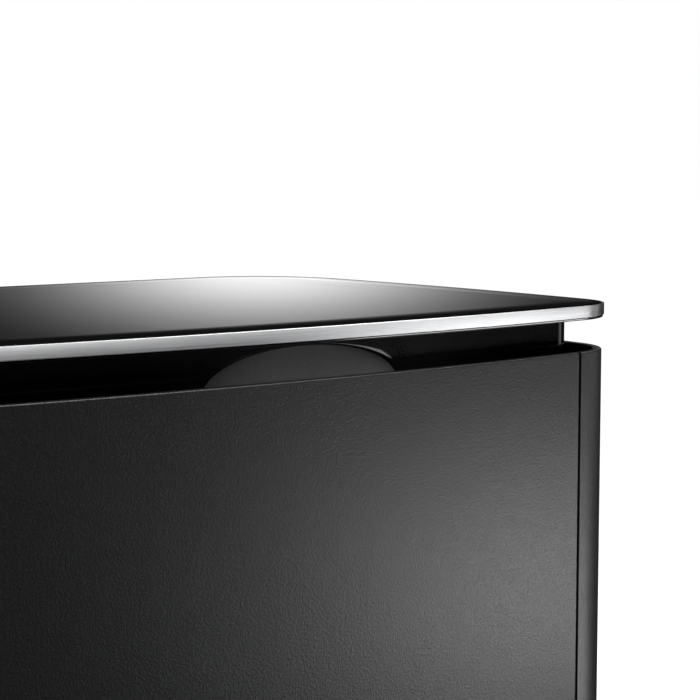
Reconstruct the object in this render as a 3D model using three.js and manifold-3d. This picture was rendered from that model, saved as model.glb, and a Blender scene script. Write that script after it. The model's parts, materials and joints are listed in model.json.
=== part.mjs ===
// A pedal-driven household trash compactor, in millimetres, +Z up, the front facing -Y.
// The origin is the centre of the footprint, on the floor.
//
// From the top down: a glass-topped lid, hinged at the rear, over a recessed collar and two
// lift-out sorting tubs; a tilt-out front door on a hopper; a crush chamber where a ram closes on a
// fixed anvil; and a drawer that holds the bin for what drops through the slot in the deck.
// Stepping on the pedal turns a toothed sector, which lifts a rack, which turns a layshaft, whose
// two pinions drive the ram forwards.
import * as THREE from "three";
import { mergeVertices } from "three/addons/utils/BufferGeometryUtils.js";
import Module from "manifold-3d";

const wasm = await Module();
wasm.setup();
const deg = Math.PI / 180;

// ---- driving dimensions: the outside ----
const WIDTH = 560;
const DEPTH = 431;
const HEIGHT = 860;
const FRONT_BOW_RADIUS = 2005;
const SIDE_BOW_RADIUS = 1860;
const REAR_BOW_RADIUS = 13000;
const FRONT_CORNER = 53;
const REAR_CORNER = 85;
const FIT = 0.4; // gap between pieces that touch
const SCREWED = 0.3; // gap between frame pieces that are screwed or riveted together
const RUNNING = 0.2; // radial clearance of a shaft in its bore
const FRONT_Y = -DEPTH / 2;
const REAR_Y = DEPTH / 2;

// ---- lid ----
const GLASS_THICK = 5;
const GLASS_PROUD = 0.6; // how far the glass stands above the band
const GLASS_EDGE = 2; // glass set in from the band's outer face
const GLASS_BEVEL = 5;
const BAND_HEIGHT = 7.8;
const BAND_WALL = 1.6;
const TRAY_LIP = 1.8; // tray seen below the band
const TRAY_ROOF = 2.6; // tray left over its hollow middle

// ---- collar: the recessed neck under the lid ----
const NECK_INSET = 27;
const NECK_WALL = 4;
const NECK_CORNER = 26;
const LID_GAP = 21.4; // lid's underside to the rim of the body
const CHANNEL_DEPTH = 25; // rim to the floor of the channel round the neck
const SEAL_THICK = 2;
const SEAL_WIDTH = 4;
const CHANNEL_FLOOR = 3;
const SCOOP_HALF_WIDTH = 76;
const SCOOP_HALF_HEIGHT = 27;
const SCOOP_DEPTH = 22;
const SCOOP_BELOW_TOP = 40.4; // scoop's centre below the lid's top
const SCOOP_WALL = 3;

// ---- outer shells and fronts ----
const SHELL_INSET = 1.5;
const SHELL_WALL = 3.2;
const RIM_WALL = 6;
const RIM_HEIGHT = 10;
const SEAM_X = WIDTH / 2 - 59; // middle of each front seam
const SEAM_GAP = 2;
const REAR_SEAM_X = WIDTH / 2 - REAR_CORNER - 19;
const SHELL_RETURN = 14; // depth of the lip behind each front seam
const SHELL_BOTTOM = 14;
const DOOR_BOTTOM = 452;
const GRIP_GAP = 22; // finger gap between the door and the drawer
const DRAWER_BOTTOM = 160;
const LINER_BACK_Y = FRONT_Y + 27.5;
const LINER_WALL = 3;
const FINGER_DEPTH = 58; // free depth behind a front's top edge

// ---- frame ----
const SHEET = 2.5;
const DECK_Z = 444;
const DECK_THICK = 4;
const FRAME_X = SEAM_X - 5; // inner face of each side frame
const FRAME_FRONT_Y = FRONT_Y + 76.5;
const FRAME_REAR_Y = REAR_Y - 26.5;
const RUNNER_REAR_Y = REAR_Y - 35.5; // rear end of the runners and of the tub shelf
const LINER_HALF_WIDTH = FRAME_X - 10;
const CHAMBER_HALF = FRAME_X - 36;
const CHAMBER_FRONT_Y = FRONT_Y + 31.5;

// ---- crush drive ----
const RACK_MODULE = 2; // pedal sector, lift rack and drive pinion
const RAM_MODULE = 4; // ram pinions and ram racks
const SECTOR_TEETH = 118;
const DRIVE_TEETH = 18;
const RAM_TEETH = 18;
const PEDAL_Z = 72;
const PEDAL_DEG = 22;
const LAYSHAFT_Z = 500;
const GEAR_X = FRAME_X + 26; // plane of the sector, lift rack and drive pinion
const GEAR_FACE = 12;
const RAM_GEAR_X = 120;
const RAM_FACE = 18;
const CRUSH_GAP = 115;
const ANVIL_THICK = 8;
const RAM_THICK = 12;
const RAM_TOP = 600;
const ROD_X = 60;
const ROD_R = 8;
const SLOT_WIDTH = 45;
const PEDAL_ARM_X = 70;
const PEDAL_PAD_HALF = 90;
const PEDAL_PAD_REST_Z = 98;

// ---- derived places ----
const TRAY_BOTTOM = HEIGHT - GLASS_PROUD - BAND_HEIGHT - TRAY_LIP;
const RIM_TOP = TRAY_BOTTOM - LID_GAP;
const COLLAR_TOP = TRAY_BOTTOM - SEAL_THICK - FIT;
const CHANNEL_Z = RIM_TOP - CHANNEL_DEPTH;
const CHAMBER_TOP = CHANNEL_Z - 7.4;
const DRAWER_TOP = DOOR_BOTTOM - GRIP_GAP;
const DECK_TOP = DECK_Z + DECK_THICK;
const SECTOR_R = (SECTOR_TEETH * RACK_MODULE) / 2;
const DRIVE_R = (DRIVE_TEETH * RACK_MODULE) / 2;
const RAM_R = (RAM_TEETH * RAM_MODULE) / 2;
const LIFT_RACK_Y = REAR_Y - 113.5; // pitch line of the lift rack
const PEDAL_Y = LIFT_RACK_Y - SECTOR_R;
const LAYSHAFT_Y = LIFT_RACK_Y - DRIVE_R;
const LIFT = SECTOR_R * PEDAL_DEG * deg;
const RAM_TRAVEL = (LIFT / DRIVE_R) * RAM_R;
const RAM_RACK_Z = LAYSHAFT_Z + RAM_R; // pitch line of the ram racks
const ANVIL_BACK_Y = CHAMBER_FRONT_Y + 1 + ANVIL_THICK;
const RAM_FRONT_Y = ANVIL_BACK_Y + CRUSH_GAP;
const DOOR_AXIS_Y = LINER_BACK_Y - 1;
const DOOR_AXIS_Z = DOOR_BOTTOM + 10;
const LID_AXIS_Y = REAR_Y - 9.5;
const LID_AXIS_Z = TRAY_BOTTOM - 8;

// ---- materials ----
const finish = (color, roughness, metalness) =>
  new THREE.MeshStandardMaterial({ color, roughness, metalness });
const blackGlass = finish(0x07080a, 0.04, 0);
const brushedAluminium = finish(0xc4c8cc, 0.3, 1);
const glossBlack = finish(0x0b0c0f, 0.12, 0);
const grainedPlastic = finish(0x2b2c30, 0.55, 0);
const linerGrey = finish(0x3a3c40, 0.6, 0);
const binGrey = finish(0x5a5e63, 0.6, 0);
const rubber = finish(0x141414, 0.85, 0);
const paintedSteel = finish(0x34373c, 0.45, 0.6);
const zincSteel = finish(0xa9adb1, 0.35, 1);
const springSteel = finish(0x8d9095, 0.3, 1);
const brass = finish(0xb08d4a, 0.35, 1);

// ---- solids ----
const solid = (geometry) => {
  const g = geometry.clone();
  g.deleteAttribute("normal");
  g.deleteAttribute("uv");
  const merged = mergeVertices(g, 1e-4);
  return new wasm.Manifold(
    new wasm.Mesh({
      numProp: 3,
      vertProperties: merged.attributes.position.array,
      triVerts: new Uint32Array(merged.index.array),
    }),
  );
};
const geometryOf = (made) => {
  const mesh = made.getMesh();
  const g = new THREE.BufferGeometry();
  g.setAttribute("position", new THREE.BufferAttribute(mesh.vertProperties, 3));
  g.setIndex(new THREE.BufferAttribute(mesh.triVerts, 1));
  return g;
};
const join = (first, ...rest) => rest.reduce((a, b) => a.add(b), first);
const cut = (first, ...rest) => rest.reduce((a, b) => a.subtract(b), first);

// A box between two corners.
const box = (x0, x1, y0, y1, z0, z1) =>
  solid(
    new THREE.BoxGeometry(x1 - x0, y1 - y0, z1 - z0).translate(
      (x0 + x1) / 2,
      (y0 + y1) / 2,
      (z0 + z1) / 2,
    ),
  );
// A rod along X, Y or Z from one end of its axis to the other.
const rod = (axis, radius, a, b, from, to, sides = 24) => {
  const g = new THREE.CylinderGeometry(radius, radius, to - from, sides);
  g.translate(0, (from + to) / 2, 0); // along Y
  if (axis === "x") g.rotateZ(-90 * deg).translate(0, a, b);
  if (axis === "y") g.translate(a, 0, b);
  if (axis === "z") g.rotateX(90 * deg).translate(a, b, 0);
  return solid(g);
};
// A bore's polygon is drawn round the rod, so that its flats clear the rod.
const bore = (axis, radius, a, b, from, to, sides = 24) =>
  rod(axis, (radius + RUNNING) / Math.cos(Math.PI / sides), a, b, from, to, sides);
const upright = (shape, z0, z1) =>
  solid(
    new THREE.ExtrudeGeometry(shape, { depth: z1 - z0, bevelEnabled: false }).translate(0, 0, z0),
  );
// A shape drawn in Y and Z, as thick as it is between two X places.
const sideways = (shape, x0, x1) =>
  solid(
    new THREE.ExtrudeGeometry(shape, { depth: x1 - x0, bevelEnabled: false })
      .rotateY(90 * deg)
      .rotateX(90 * deg)
      .translate(x0, 0, 0),
  );

// ---- the plan outline: four bowed sides with round corners ----
const arcPoints = (cx, cy, r, from, to, steps) =>
  Array.from({ length: steps + 1 }, (_, i) => {
    const t = from + ((to - from) * i) / steps;
    return new THREE.Vector2(cx + r * Math.cos(t), cy + r * Math.sin(t));
  });
// Centre of a corner round that touches two bows from inside, on the side of x > 0.
const cornerCentre = (bow, bowR, side, sideR, sign) => {
  const d = side.clone().sub(bow);
  const length = d.length();
  const along = (bowR ** 2 - sideR ** 2 + length ** 2) / (2 * length);
  const off = Math.sqrt(bowR ** 2 - along ** 2);
  d.divideScalar(length);
  const base = bow.clone().addScaledVector(d, along);
  const choices = [1, -1].map((s) => base.clone().add(new THREE.Vector2(-d.y * off * s, d.x * off * s)));
  return choices.sort((p, q) => q.x + sign * q.y - (p.x + sign * p.y))[0];
};
const planPoints = (inset, frontCorner = FRONT_CORNER - inset, rearCorner = REAR_CORNER - inset) => {
  const frontR = FRONT_BOW_RADIUS - inset;
  const sideR = SIDE_BOW_RADIUS - inset;
  const rearR = REAR_BOW_RADIUS - inset;
  const front = new THREE.Vector2(0, FRONT_Y + FRONT_BOW_RADIUS);
  const rear = new THREE.Vector2(0, REAR_Y - REAR_BOW_RADIUS);
  const side = new THREE.Vector2(WIDTH / 2 - SIDE_BOW_RADIUS, 0);
  const f = cornerCentre(front, frontR - frontCorner, side, sideR - frontCorner, -1);
  const r = cornerCentre(rear, rearR - rearCorner, side, sideR - rearCorner, 1);
  const angle = (from, to) => Math.atan2(to.y - from.y, to.x - from.x);
  const right = [
    ...arcPoints(front.x, front.y, frontR, -90 * deg, angle(front, f), 5),
    ...arcPoints(f.x, f.y, frontCorner, angle(front, f), angle(side, f), 6).slice(1),
    ...arcPoints(side.x, side.y, sideR, angle(side, f), angle(side, r), 6).slice(1),
    ...arcPoints(r.x, r.y, rearCorner, angle(side, r), angle(rear, r), 8).slice(1),
    ...arcPoints(rear.x, rear.y, rearR, angle(rear, r), 90 * deg, 3).slice(1),
  ];
  const left = right
    .slice(1, -1)
    .reverse()
    .map((p) => new THREE.Vector2(-p.x, p.y));
  return [...right, ...left];
};
const planSlab = (points, z0, z1) => upright(new THREE.Shape(points), z0, z1);
const planRing = (outer, inner, z0, z1) =>
  planSlab(planPoints(outer), z0, z1).subtract(planSlab(planPoints(inner), z0 - 1, z1 + 1));
const frontY = (x, inset) =>
  FRONT_Y + FRONT_BOW_RADIUS - Math.sqrt((FRONT_BOW_RADIUS - inset) ** 2 - x ** 2);
const frontArc = (halfWidth, inset) =>
  Array.from({ length: 11 }, (_, i) => halfWidth * (i / 5 - 1)).map(
    (x) => new THREE.Vector2(x, frontY(x, inset)),
  );
// The band of plan between two insets from the bowed front.
const frontStrip = (outer, inner, halfWidth, z0, z1) =>
  planSlab([...frontArc(halfWidth, outer), ...frontArc(halfWidth, inner).reverse()], z0, z1);
// The part of plan between the bowed front at one inset and a flat back.
const frontBlock = (outer, backY, halfWidth, z0, z1) => {
  const back = [new THREE.Vector2(halfWidth, backY), new THREE.Vector2(-halfWidth, backY)];
  return planSlab([...frontArc(halfWidth, outer), ...back], z0, z1);
};

// ---- gears and racks ----
const involute = (a) => Math.tan(a) - a;
const PRESSURE = 20 * deg;
const TOOTH_SLACK = 0.06; // share of a tooth left out for backlash
const ROOT_SLACK = 1.25;
const TIP = 0.9;
// Outline points of the teeth from one index to another; tooth 0 is centred on the angle at.
const toothPoints = (teeth, module, from, to, at) => {
  const r = (teeth * module) / 2;
  const base = r * Math.cos(PRESSURE);
  const root = r - ROOT_SLACK * module;
  const half = (radius) =>
    (Math.PI / (2 * teeth)) * (1 - TOOTH_SLACK) +
    involute(PRESSURE) -
    (radius > base ? involute(Math.acos(base / radius)) : 0);
  const rows = [root, Math.max(base, root + 0.2 * module), r, r + TIP * module];
  const points = [];
  for (let i = from; i <= to; i++) {
    const middle = at + (i * 2 * Math.PI) / teeth;
    rows.forEach((radius) => points.push([radius, middle - half(radius)]));
    [...rows].reverse().forEach((radius) => points.push([radius, middle + half(radius)]));
  }
  const toPoint = ([radius, t]) => new THREE.Vector2(radius * Math.cos(t), radius * Math.sin(t));
  return points.map(toPoint);
};
// A gear in Y and Z about the origin, with a bore.
const gearSolid = (teeth, module, at, boreR, y, z, x0, x1) => {
  const outline = new THREE.Shape(toothPoints(teeth, module, 0, teeth - 1, at));
  return cut(sideways(outline, x0, x1).translate([0, y, z]), rod("x", boreR, y, z, x0 - 1, x1 + 1));
};
// Rack teeth as [along, out] pairs, with a space centred on along = 0 and out measured from the
// pitch line.
const rackTeeth = (module, low, high) => {
  const pitch = Math.PI * module;
  const flank = Math.tan(PRESSURE);
  const points = [];
  for (let i = Math.ceil(low / pitch - 0.5); (i + 0.5) * pitch <= high; i++) {
    const middle = (i + 0.5) * pitch;
    const half = (out) => (pitch / 4) * (1 - TOOTH_SLACK) - out * flank;
    const root = -ROOT_SLACK * module;
    const tip = TIP * module;
    points.push([middle - half(root), root], [middle - half(tip), tip]);
    points.push([middle + half(tip), tip], [middle + half(root), root]);
  }
  return points;
};

// ---- the assembly ----
const compactor = new THREE.Group();
compactor.name = "trash_compactor";
const assembly = (name) => {
  const group = new THREE.Group();
  group.name = name;
  compactor.add(group);
  return group;
};
const add = (group, name, made, material) => {
  const mesh = new THREE.Mesh(geometryOf(made), material);
  mesh.name = name;
  group.add(mesh);
};
const SIDES = [
  ["left", -1],
  ["right", 1],
];
// The same solid on the other side: a mirror in X.
const onSide = (made, sign) => (sign > 0 ? made : made.mirror([1, 0, 0]));

// ---- lid: glass, band, tray, seal and hinge leaves ----
const lid = assembly("lid");
const bevelledGlass = () => {
  const z0 = HEIGHT - GLASS_THICK;
  const plain = planSlab(planPoints(GLASS_EDGE), z0, HEIGHT - GLASS_PROUD);
  const steps = 3;
  const layers = Array.from({ length: steps }, (_, i) => {
    // quarter-round from the edge in to the flat top
    const lower = (i / steps) * 90 * deg;
    const upper = ((i + 1) / steps) * 90 * deg;
    const inset = (t) => GLASS_EDGE + GLASS_BEVEL * (1 - Math.cos(t));
    const z = (t) => HEIGHT - GLASS_PROUD + GLASS_PROUD * Math.sin(t);
    return loft(planPoints(inset(lower)), z(lower), planPoints(inset(upper)), z(upper));
  });
  return join(plain, ...layers);
};
// A closed skin between two outlines with the same number of points.
const loft = (low, z0, high, z1) => {
  const n = low.length;
  const position = [...low.map((p) => [p.x, p.y, z0]), ...high.map((p) => [p.x, p.y, z1])].flat();
  const index = [];
  for (let i = 0; i < n; i++) {
    const j = (i + 1) % n;
    index.push(i, j, n + j, i, n + j, n + i);
  }
  THREE.ShapeUtils.triangulateShape(low, []).forEach(([a, b, c]) => index.push(a, c, b));
  THREE.ShapeUtils.triangulateShape(high, []).forEach(([a, b, c]) => index.push(n + a, n + b, n + c));
  const g = new THREE.BufferGeometry();
  g.setAttribute("position", new THREE.Float32BufferAttribute(position, 3));
  g.setIndex(index);
  return solid(g);
};
add(lid, "lid_glass", bevelledGlass(), blackGlass);
const bandBottom = TRAY_BOTTOM + TRAY_LIP;
add(lid, "lid_band", planRing(0, BAND_WALL, bandBottom, bandBottom + BAND_HEIGHT), brushedAluminium);
const TRAY_EDGE = 0.8; // tray's edge set in from the band's outer face
const trayInset = BAND_WALL + FIT;
const trayPocket = NECK_INSET + NECK_WALL + 10;
const trayTop = HEIGHT - GLASS_THICK - FIT;
add(
  lid,
  "lid_tray",
  cut(
    join(
      planSlab(planPoints(TRAY_EDGE), TRAY_BOTTOM, bandBottom - FIT),
      planSlab(planPoints(trayInset), bandBottom - FIT - 0.01, trayTop),
    ),
    planSlab(planPoints(trayPocket, NECK_CORNER), TRAY_BOTTOM - 1, trayTop - TRAY_ROOF),
  ),
  glossBlack,
);
const sealRing = (outer, inner, z0, z1) =>
  planSlab(planPoints(outer, NECK_CORNER), z0, z1).subtract(
    planSlab(planPoints(inner, NECK_CORNER), z0 - 1, z1 + 1),
  );
const UNDER_TRAY = 0.1; // gap between the tray and what is fixed under it
const sealOuter = NECK_INSET + 1;
const seal = sealRing(sealOuter, sealOuter + SEAL_WIDTH, COLLAR_TOP + FIT, TRAY_BOTTOM - UNDER_TRAY);
add(lid, "lid_seal", seal, rubber);

const HINGE_X = WIDTH / 2 - 130;
const HINGE_R = 5;
const HINGE_PIN_R = 2.5;
const KNUCKLE = 24;
SIDES.forEach(([side, sign]) => {
  const middle = [HINGE_X - KNUCKLE / 2, HINGE_X + KNUCKLE / 2];
  const barrel = rod("x", HINGE_R, LID_AXIS_Y, LID_AXIS_Z, ...middle, 16);
  const leafTop = TRAY_BOTTOM - UNDER_TRAY;
  const leafRearY = LID_AXIS_Y + HINGE_R - 1;
  const leafFrontY = LID_AXIS_Y - HINGE_R;
  const web = box(...middle, leafFrontY, leafRearY, LID_AXIS_Z, leafTop);
  const plate = box(HINGE_X - 30, HINGE_X + 30, leafFrontY - 4, leafRearY, leafTop - 1.5, leafTop);
  const pinHole = bore("x", HINGE_PIN_R, LID_AXIS_Y, LID_AXIS_Z, HINGE_X - 40, HINGE_X + 40, 16);
  const leaf = cut(join(barrel, web, plate), pinHole);
  add(lid, `lid_hinge_leaf_${side}`, onSide(leaf, sign), zincSteel);
});

// ---- collar: neck wall, channel floor and finger scoop ----
const cabinet = assembly("cabinet");
const scoopZ = HEIGHT - SCOOP_BELOW_TOP;
// Half an ellipsoid that opens forwards; grow thickens it for the bowl's outer skin.
const scoopBall = (y, z, halfWidth, halfHeight, depth, grow = 0) => {
  const g = new THREE.SphereGeometry(1, 28, 16);
  g.rotateX(90 * deg);
  g.scale(halfWidth + grow, depth + grow, halfHeight + grow).translate(0, y, z);
  return solid(g);
};
const neckFrontY = FRONT_Y + NECK_INSET;
const neckSlab = (inset, z0, z1) => planSlab(planPoints(inset, NECK_CORNER), z0, z1);
const collarWall = neckSlab(NECK_INSET, CHANNEL_Z, COLLAR_TOP).subtract(
  neckSlab(NECK_INSET + NECK_WALL, CHANNEL_Z - 1, COLLAR_TOP + 1),
);
const channelEdge = planPoints(SHELL_INSET + RIM_WALL + 1);
const channelFloor = planSlab(channelEdge, CHANNEL_Z - CHANNEL_FLOOR, CHANNEL_Z).subtract(
  neckSlab(NECK_INSET + NECK_WALL, CHANNEL_Z - CHANNEL_FLOOR - 1, CHANNEL_Z + 1),
);
const apronHalf = FRAME_X - FIT;
const apronBottom = scoopZ - SCOOP_HALF_HEIGHT - 5;
const frontDoorRoom = frontStrip(-20, NECK_INSET, SEAM_X + 1, CHANNEL_Z - 4, CHANNEL_Z + 1);
const apron = frontStrip(NECK_INSET, NECK_INSET + NECK_WALL, apronHalf, apronBottom, CHANNEL_Z + 1);
const aboveCollar = box(-WIDTH, WIDTH, -DEPTH, DEPTH, COLLAR_TOP, HEIGHT + 50);
const aheadOfNeck = frontStrip(-20, NECK_INSET, SCOOP_HALF_WIDTH + 50, apronBottom - 40, HEIGHT);
const bowl = cut(
  scoopBall(neckFrontY, scoopZ, SCOOP_HALF_WIDTH, SCOOP_HALF_HEIGHT, SCOOP_DEPTH, SCOOP_WALL),
  aheadOfNeck,
  aboveCollar,
  box(-WIDTH, WIDTH, -DEPTH, DEPTH, apronBottom - 60, apronBottom),
);
const collar = cut(
  join(collarWall, cut(channelFloor, frontDoorRoom), apron, bowl),
  scoopBall(neckFrontY, scoopZ, SCOOP_HALF_WIDTH, SCOOP_HALF_HEIGHT, SCOOP_DEPTH),
);
add(cabinet, "top_collar", collar, glossBlack);

// Lid hinge brackets stand on the channel floor behind the neck and carry the pins.
SIDES.forEach(([side, sign]) => {
  const ears = [-1, 1].map((end) => {
    const inner = HINGE_X + end * (KNUCKLE / 2 + FIT);
    const outer = inner + end * 6;
    const [x0, x1] = [Math.min(inner, outer), Math.max(inner, outer)];
    return join(
      rod("x", HINGE_R, LID_AXIS_Y, LID_AXIS_Z, x0, x1, 16),
      box(x0, x1, LID_AXIS_Y - HINGE_R, LID_AXIS_Y + 2, LID_AXIS_Z - 12, LID_AXIS_Z),
    );
  });
  const neckRearY = REAR_Y - NECK_INSET + FIT;
  const armZ = [RIM_TOP + 1, LID_AXIS_Z - 8];
  const arm = box(HINGE_X - 19, HINGE_X + 19, neckRearY, LID_AXIS_Y + 2, ...armZ);
  const foot = box(HINGE_X - 19, HINGE_X + 19, neckRearY, neckRearY + 4, CHANNEL_Z + FIT, armZ[1]);
  const pin = rod("x", HINGE_PIN_R, LID_AXIS_Y, LID_AXIS_Z, HINGE_X - 18, HINGE_X + 18, 16);
  add(cabinet, `lid_hinge_bracket_${side}`, onSide(join(arm, foot, ...ears, pin), sign), zincSteel);
});

// ---- outer shells and rear panel ----
SIDES.forEach(([side, sign]) => {
  const start = SEAM_X + SEAM_GAP / 2;
  const rearStart = REAR_SEAM_X + SEAM_GAP / 2;
  const z = [SHELL_BOTTOM, RIM_TOP];
  const wrap = join(
    planRing(SHELL_INSET, SHELL_INSET + SHELL_WALL, ...z),
    planRing(SHELL_INSET, SHELL_INSET + RIM_WALL, RIM_TOP - RIM_HEIGHT, RIM_TOP),
  );
  const skin = wrap.intersect(
    join(box(start, WIDTH, -DEPTH, 1, 0, HEIGHT), box(rearStart, WIDTH, 0, DEPTH, 0, HEIGHT)),
  );
  const lipY = frontY(start, SHELL_INSET + 1);
  const lipTop = CHANNEL_Z - CHANNEL_FLOOR - FIT;
  const frontLip = box(start, start + SHELL_WALL, lipY, lipY + SHELL_RETURN, z[0], lipTop);
  // The rear edge steps in behind the rear panel.
  const inside = SHELL_INSET + SHELL_WALL;
  const rearRing = (outer, x0, x1) =>
    planRing(outer, inside + SHELL_WALL, z[0], z[1] - RIM_HEIGHT).intersect(
      box(x0, x1, 0, DEPTH, 0, HEIGHT),
    );
  const jog = rearRing(inside - 1, rearStart, rearStart + 16);
  const rearLip = rearRing(inside + FIT, rearStart - 18, rearStart + 1);
  const shell = join(skin, frontLip, jog, rearLip);
  add(cabinet, `side_shell_${side}`, onSide(shell, sign), grainedPlastic);
});
const rearHalf = REAR_SEAM_X - SEAM_GAP / 2;
const rearPanel = join(
  planRing(SHELL_INSET, SHELL_INSET + SHELL_WALL, SHELL_BOTTOM, RIM_TOP),
  planRing(SHELL_INSET, SHELL_INSET + RIM_WALL, RIM_TOP - RIM_HEIGHT + FIT, RIM_TOP),
).intersect(box(-rearHalf, rearHalf, 0, DEPTH, 0, HEIGHT));
add(cabinet, "rear_panel", rearPanel, grainedPlastic);

// ---- base, kick plate and levelling feet ----
const BASE_LIP = 24;
const KICK_Y = FRONT_Y + 70.5;
const baseInset = SHELL_INSET + 2 * SHELL_WALL + 1;
const baseTop = SHELL_BOTTOM + 3;
const pedalBay = 98;
const basePlan = planSlab(planPoints(baseInset), SHELL_BOTTOM, baseTop + BASE_LIP);
const baseRoom = planSlab(planPoints(baseInset + SHEET), baseTop, baseTop + BASE_LIP + 1);
const FOOT_X = WIDTH / 2 - 42;
const FOOT_REAR_X = WIDTH / 2 - 90;
const FOOT_FRONT_Y = FRONT_Y + 41.5;
const FOOT_REAR_Y = REAR_Y - 46.5;
const FOOT_R = 17;
const FOOT_HEIGHT = 9;
const STEM_R = 5;
const footPlaces = [
  ["front_left", -FOOT_X, FOOT_FRONT_Y],
  ["front_right", FOOT_X, FOOT_FRONT_Y],
  ["rear_left", -FOOT_REAR_X, FOOT_REAR_Y],
  ["rear_right", FOOT_REAR_X, FOOT_REAR_Y],
];
const toeX = SEAM_X + SHELL_WALL + 4;
add(
  cabinet,
  "base_pan",
  cut(
    basePlan,
    baseRoom,
    box(-toeX, toeX, -DEPTH, KICK_Y - 1, 0, 100),
    box(-pedalBay, pedalBay, -DEPTH, PEDAL_Y + 30, 0, 100),
    // Room for the foot of the lift rack and the tip of the pedal's sector.
    box(GEAR_X - 10, GEAR_X + 10, PEDAL_Y + SECTOR_R * 0.7, LIFT_RACK_Y + 20, 0, baseTop + 1),
    ...footPlaces.map(([, x, y]) => bore("z", STEM_R, x, y, SHELL_BOTTOM - 1, baseTop + 1)),
  ),
  paintedSteel,
);
footPlaces.forEach(([name, x, y]) => {
  const pad = rod("z", FOOT_R, x, y, 0, FOOT_HEIGHT);
  const stem = rod("z", STEM_R, x, y, FOOT_HEIGHT - 1, baseTop + 9);
  add(cabinet, `foot_${name}`, join(pad, stem), rubber);
});
const kickTop = DRAWER_BOTTOM - 8;
add(
  cabinet,
  "kick_plate",
  cut(
    box(-SEAM_X + 2, SEAM_X - 2, KICK_Y, KICK_Y + SHEET, baseTop + 0.5, kickTop),
    box(-pedalBay, pedalBay, KICK_Y - 1, KICK_Y + SHEET + 1, 0, PEDAL_PAD_REST_Z + 22),
  ),
  glossBlack,
);

// ---- side frames and deck ----
const PEDAL_SHAFT_R = 9;
const pedalShaftHole = rod("x", PEDAL_SHAFT_R + 6, PEDAL_Y, PEDAL_Z, FRAME_X - 5, FRAME_X + 10);
const LAYSHAFT_R = 7;
const frameTop = CHANNEL_Z - CHANNEL_FLOOR - SCREWED;
SIDES.forEach(([side, sign]) => {
  const x = [FRAME_X, FRAME_X + SHEET];
  const plate = join(
    box(...x, FRAME_FRONT_Y, FRAME_REAR_Y, baseTop + SCREWED, frameTop),
    box(...x, DOOR_AXIS_Y - 4.5, FRAME_FRONT_Y + 1, DOOR_AXIS_Z - 6, frameTop),
    box(FRAME_X, WIDTH / 2 - 18, FRAME_FRONT_Y, REAR_Y - 81.5, frameTop - SHEET, frameTop),
  );
  const shaftHole = rod("x", LAYSHAFT_R + 3, LAYSHAFT_Y, LAYSHAFT_Z, FRAME_X - 5, FRAME_X + 10);
  const made = cut(plate, pedalShaftHole, shaftHole);
  add(cabinet, `side_frame_${side}`, onSide(made, sign), paintedSteel);
});
const slotY = [ANVIL_BACK_Y, ANVIL_BACK_Y + SLOT_WIDTH];
const deckHalf = FRAME_X - SCREWED;
add(
  cabinet,
  "deck",
  cut(
    box(-deckHalf, deckHalf, CHAMBER_FRONT_Y + 1, FRAME_REAR_Y, DECK_Z, DECK_TOP),
    box(-CHAMBER_HALF + 8, CHAMBER_HALF - 8, ...slotY, DECK_Z - 1, DECK_TOP + 1),
  ),
  paintedSteel,
);

// ---- crush chamber: side walls, anvil, hopper back and cover ----
const SHELF_Z = RAM_TOP + 16;
const CHAMBER_REAR_Y = LAYSHAFT_Y - 40;
const coverY = [neckFrontY + SCOOP_DEPTH + SCOOP_WALL + 6, RAM_FRONT_Y + 46];
const chamberBottom = DECK_TOP + SCREWED;
SIDES.forEach(([side, sign]) => {
  const x = [CHAMBER_HALF, CHAMBER_HALF + SHEET];
  const wall = join(
    box(...x, CHAMBER_FRONT_Y, CHAMBER_REAR_Y, chamberBottom, SHELF_Z - SCREWED),
    box(...x, CHAMBER_FRONT_Y, coverY[1], chamberBottom, apronBottom - FIT),
    box(...x, ...coverY, chamberBottom, CHAMBER_TOP),
  );
  add(cabinet, `chamber_wall_${side}`, onSide(wall, sign), zincSteel);
});
const anvilHalf = CHAMBER_HALF - SCREWED;
// Ribs across the anvil and the ram's face, staggered so that they pass between each other.
const RIB_PITCH = 30;
const RIB_PROUD = 3;
const RIB_HALF = 3;
const ribHeights = (first, count) =>
  Array.from({ length: count }, (_, i) => DECK_TOP + first + i * RIB_PITCH);
const anvilRib = (z) =>
  box(-anvilHalf, anvilHalf, ANVIL_BACK_Y - 1, ANVIL_BACK_Y + RIB_PROUD, z - RIB_HALF, z + RIB_HALF);
add(
  cabinet,
  "anvil_plate",
  join(
    box(-anvilHalf, anvilHalf, CHAMBER_FRONT_Y + 1, ANVIL_BACK_Y, chamberBottom, RAM_TOP),
    ...ribHeights(32, 4).map(anvilRib),
  ),
  zincSteel,
);
const COVER_THICK = 4;
const coverZ = [CHAMBER_TOP + 0.5, CHAMBER_TOP + 0.5 + COVER_THICK];
const hopperFoot = new THREE.Vector2(RAM_FRONT_Y + 6, RAM_TOP + 5);
const hopperHead = new THREE.Vector2(RAM_FRONT_Y + 40, coverZ[1]);
const thick = new THREE.Vector2(SHEET, 0);
const hopperBack = new THREE.Shape([
  hopperFoot,
  hopperFoot.clone().add(thick),
  hopperHead.clone().add(thick),
  hopperHead,
]);
const coverHalf = FRAME_X - 1;
add(
  cabinet,
  "hopper_cover",
  join(
    box(-coverHalf, coverHalf, ...coverY, ...coverZ),
    sideways(hopperBack, -CHAMBER_HALF + 1, CHAMBER_HALF - 1),
  ),
  linerGrey,
);

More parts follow.
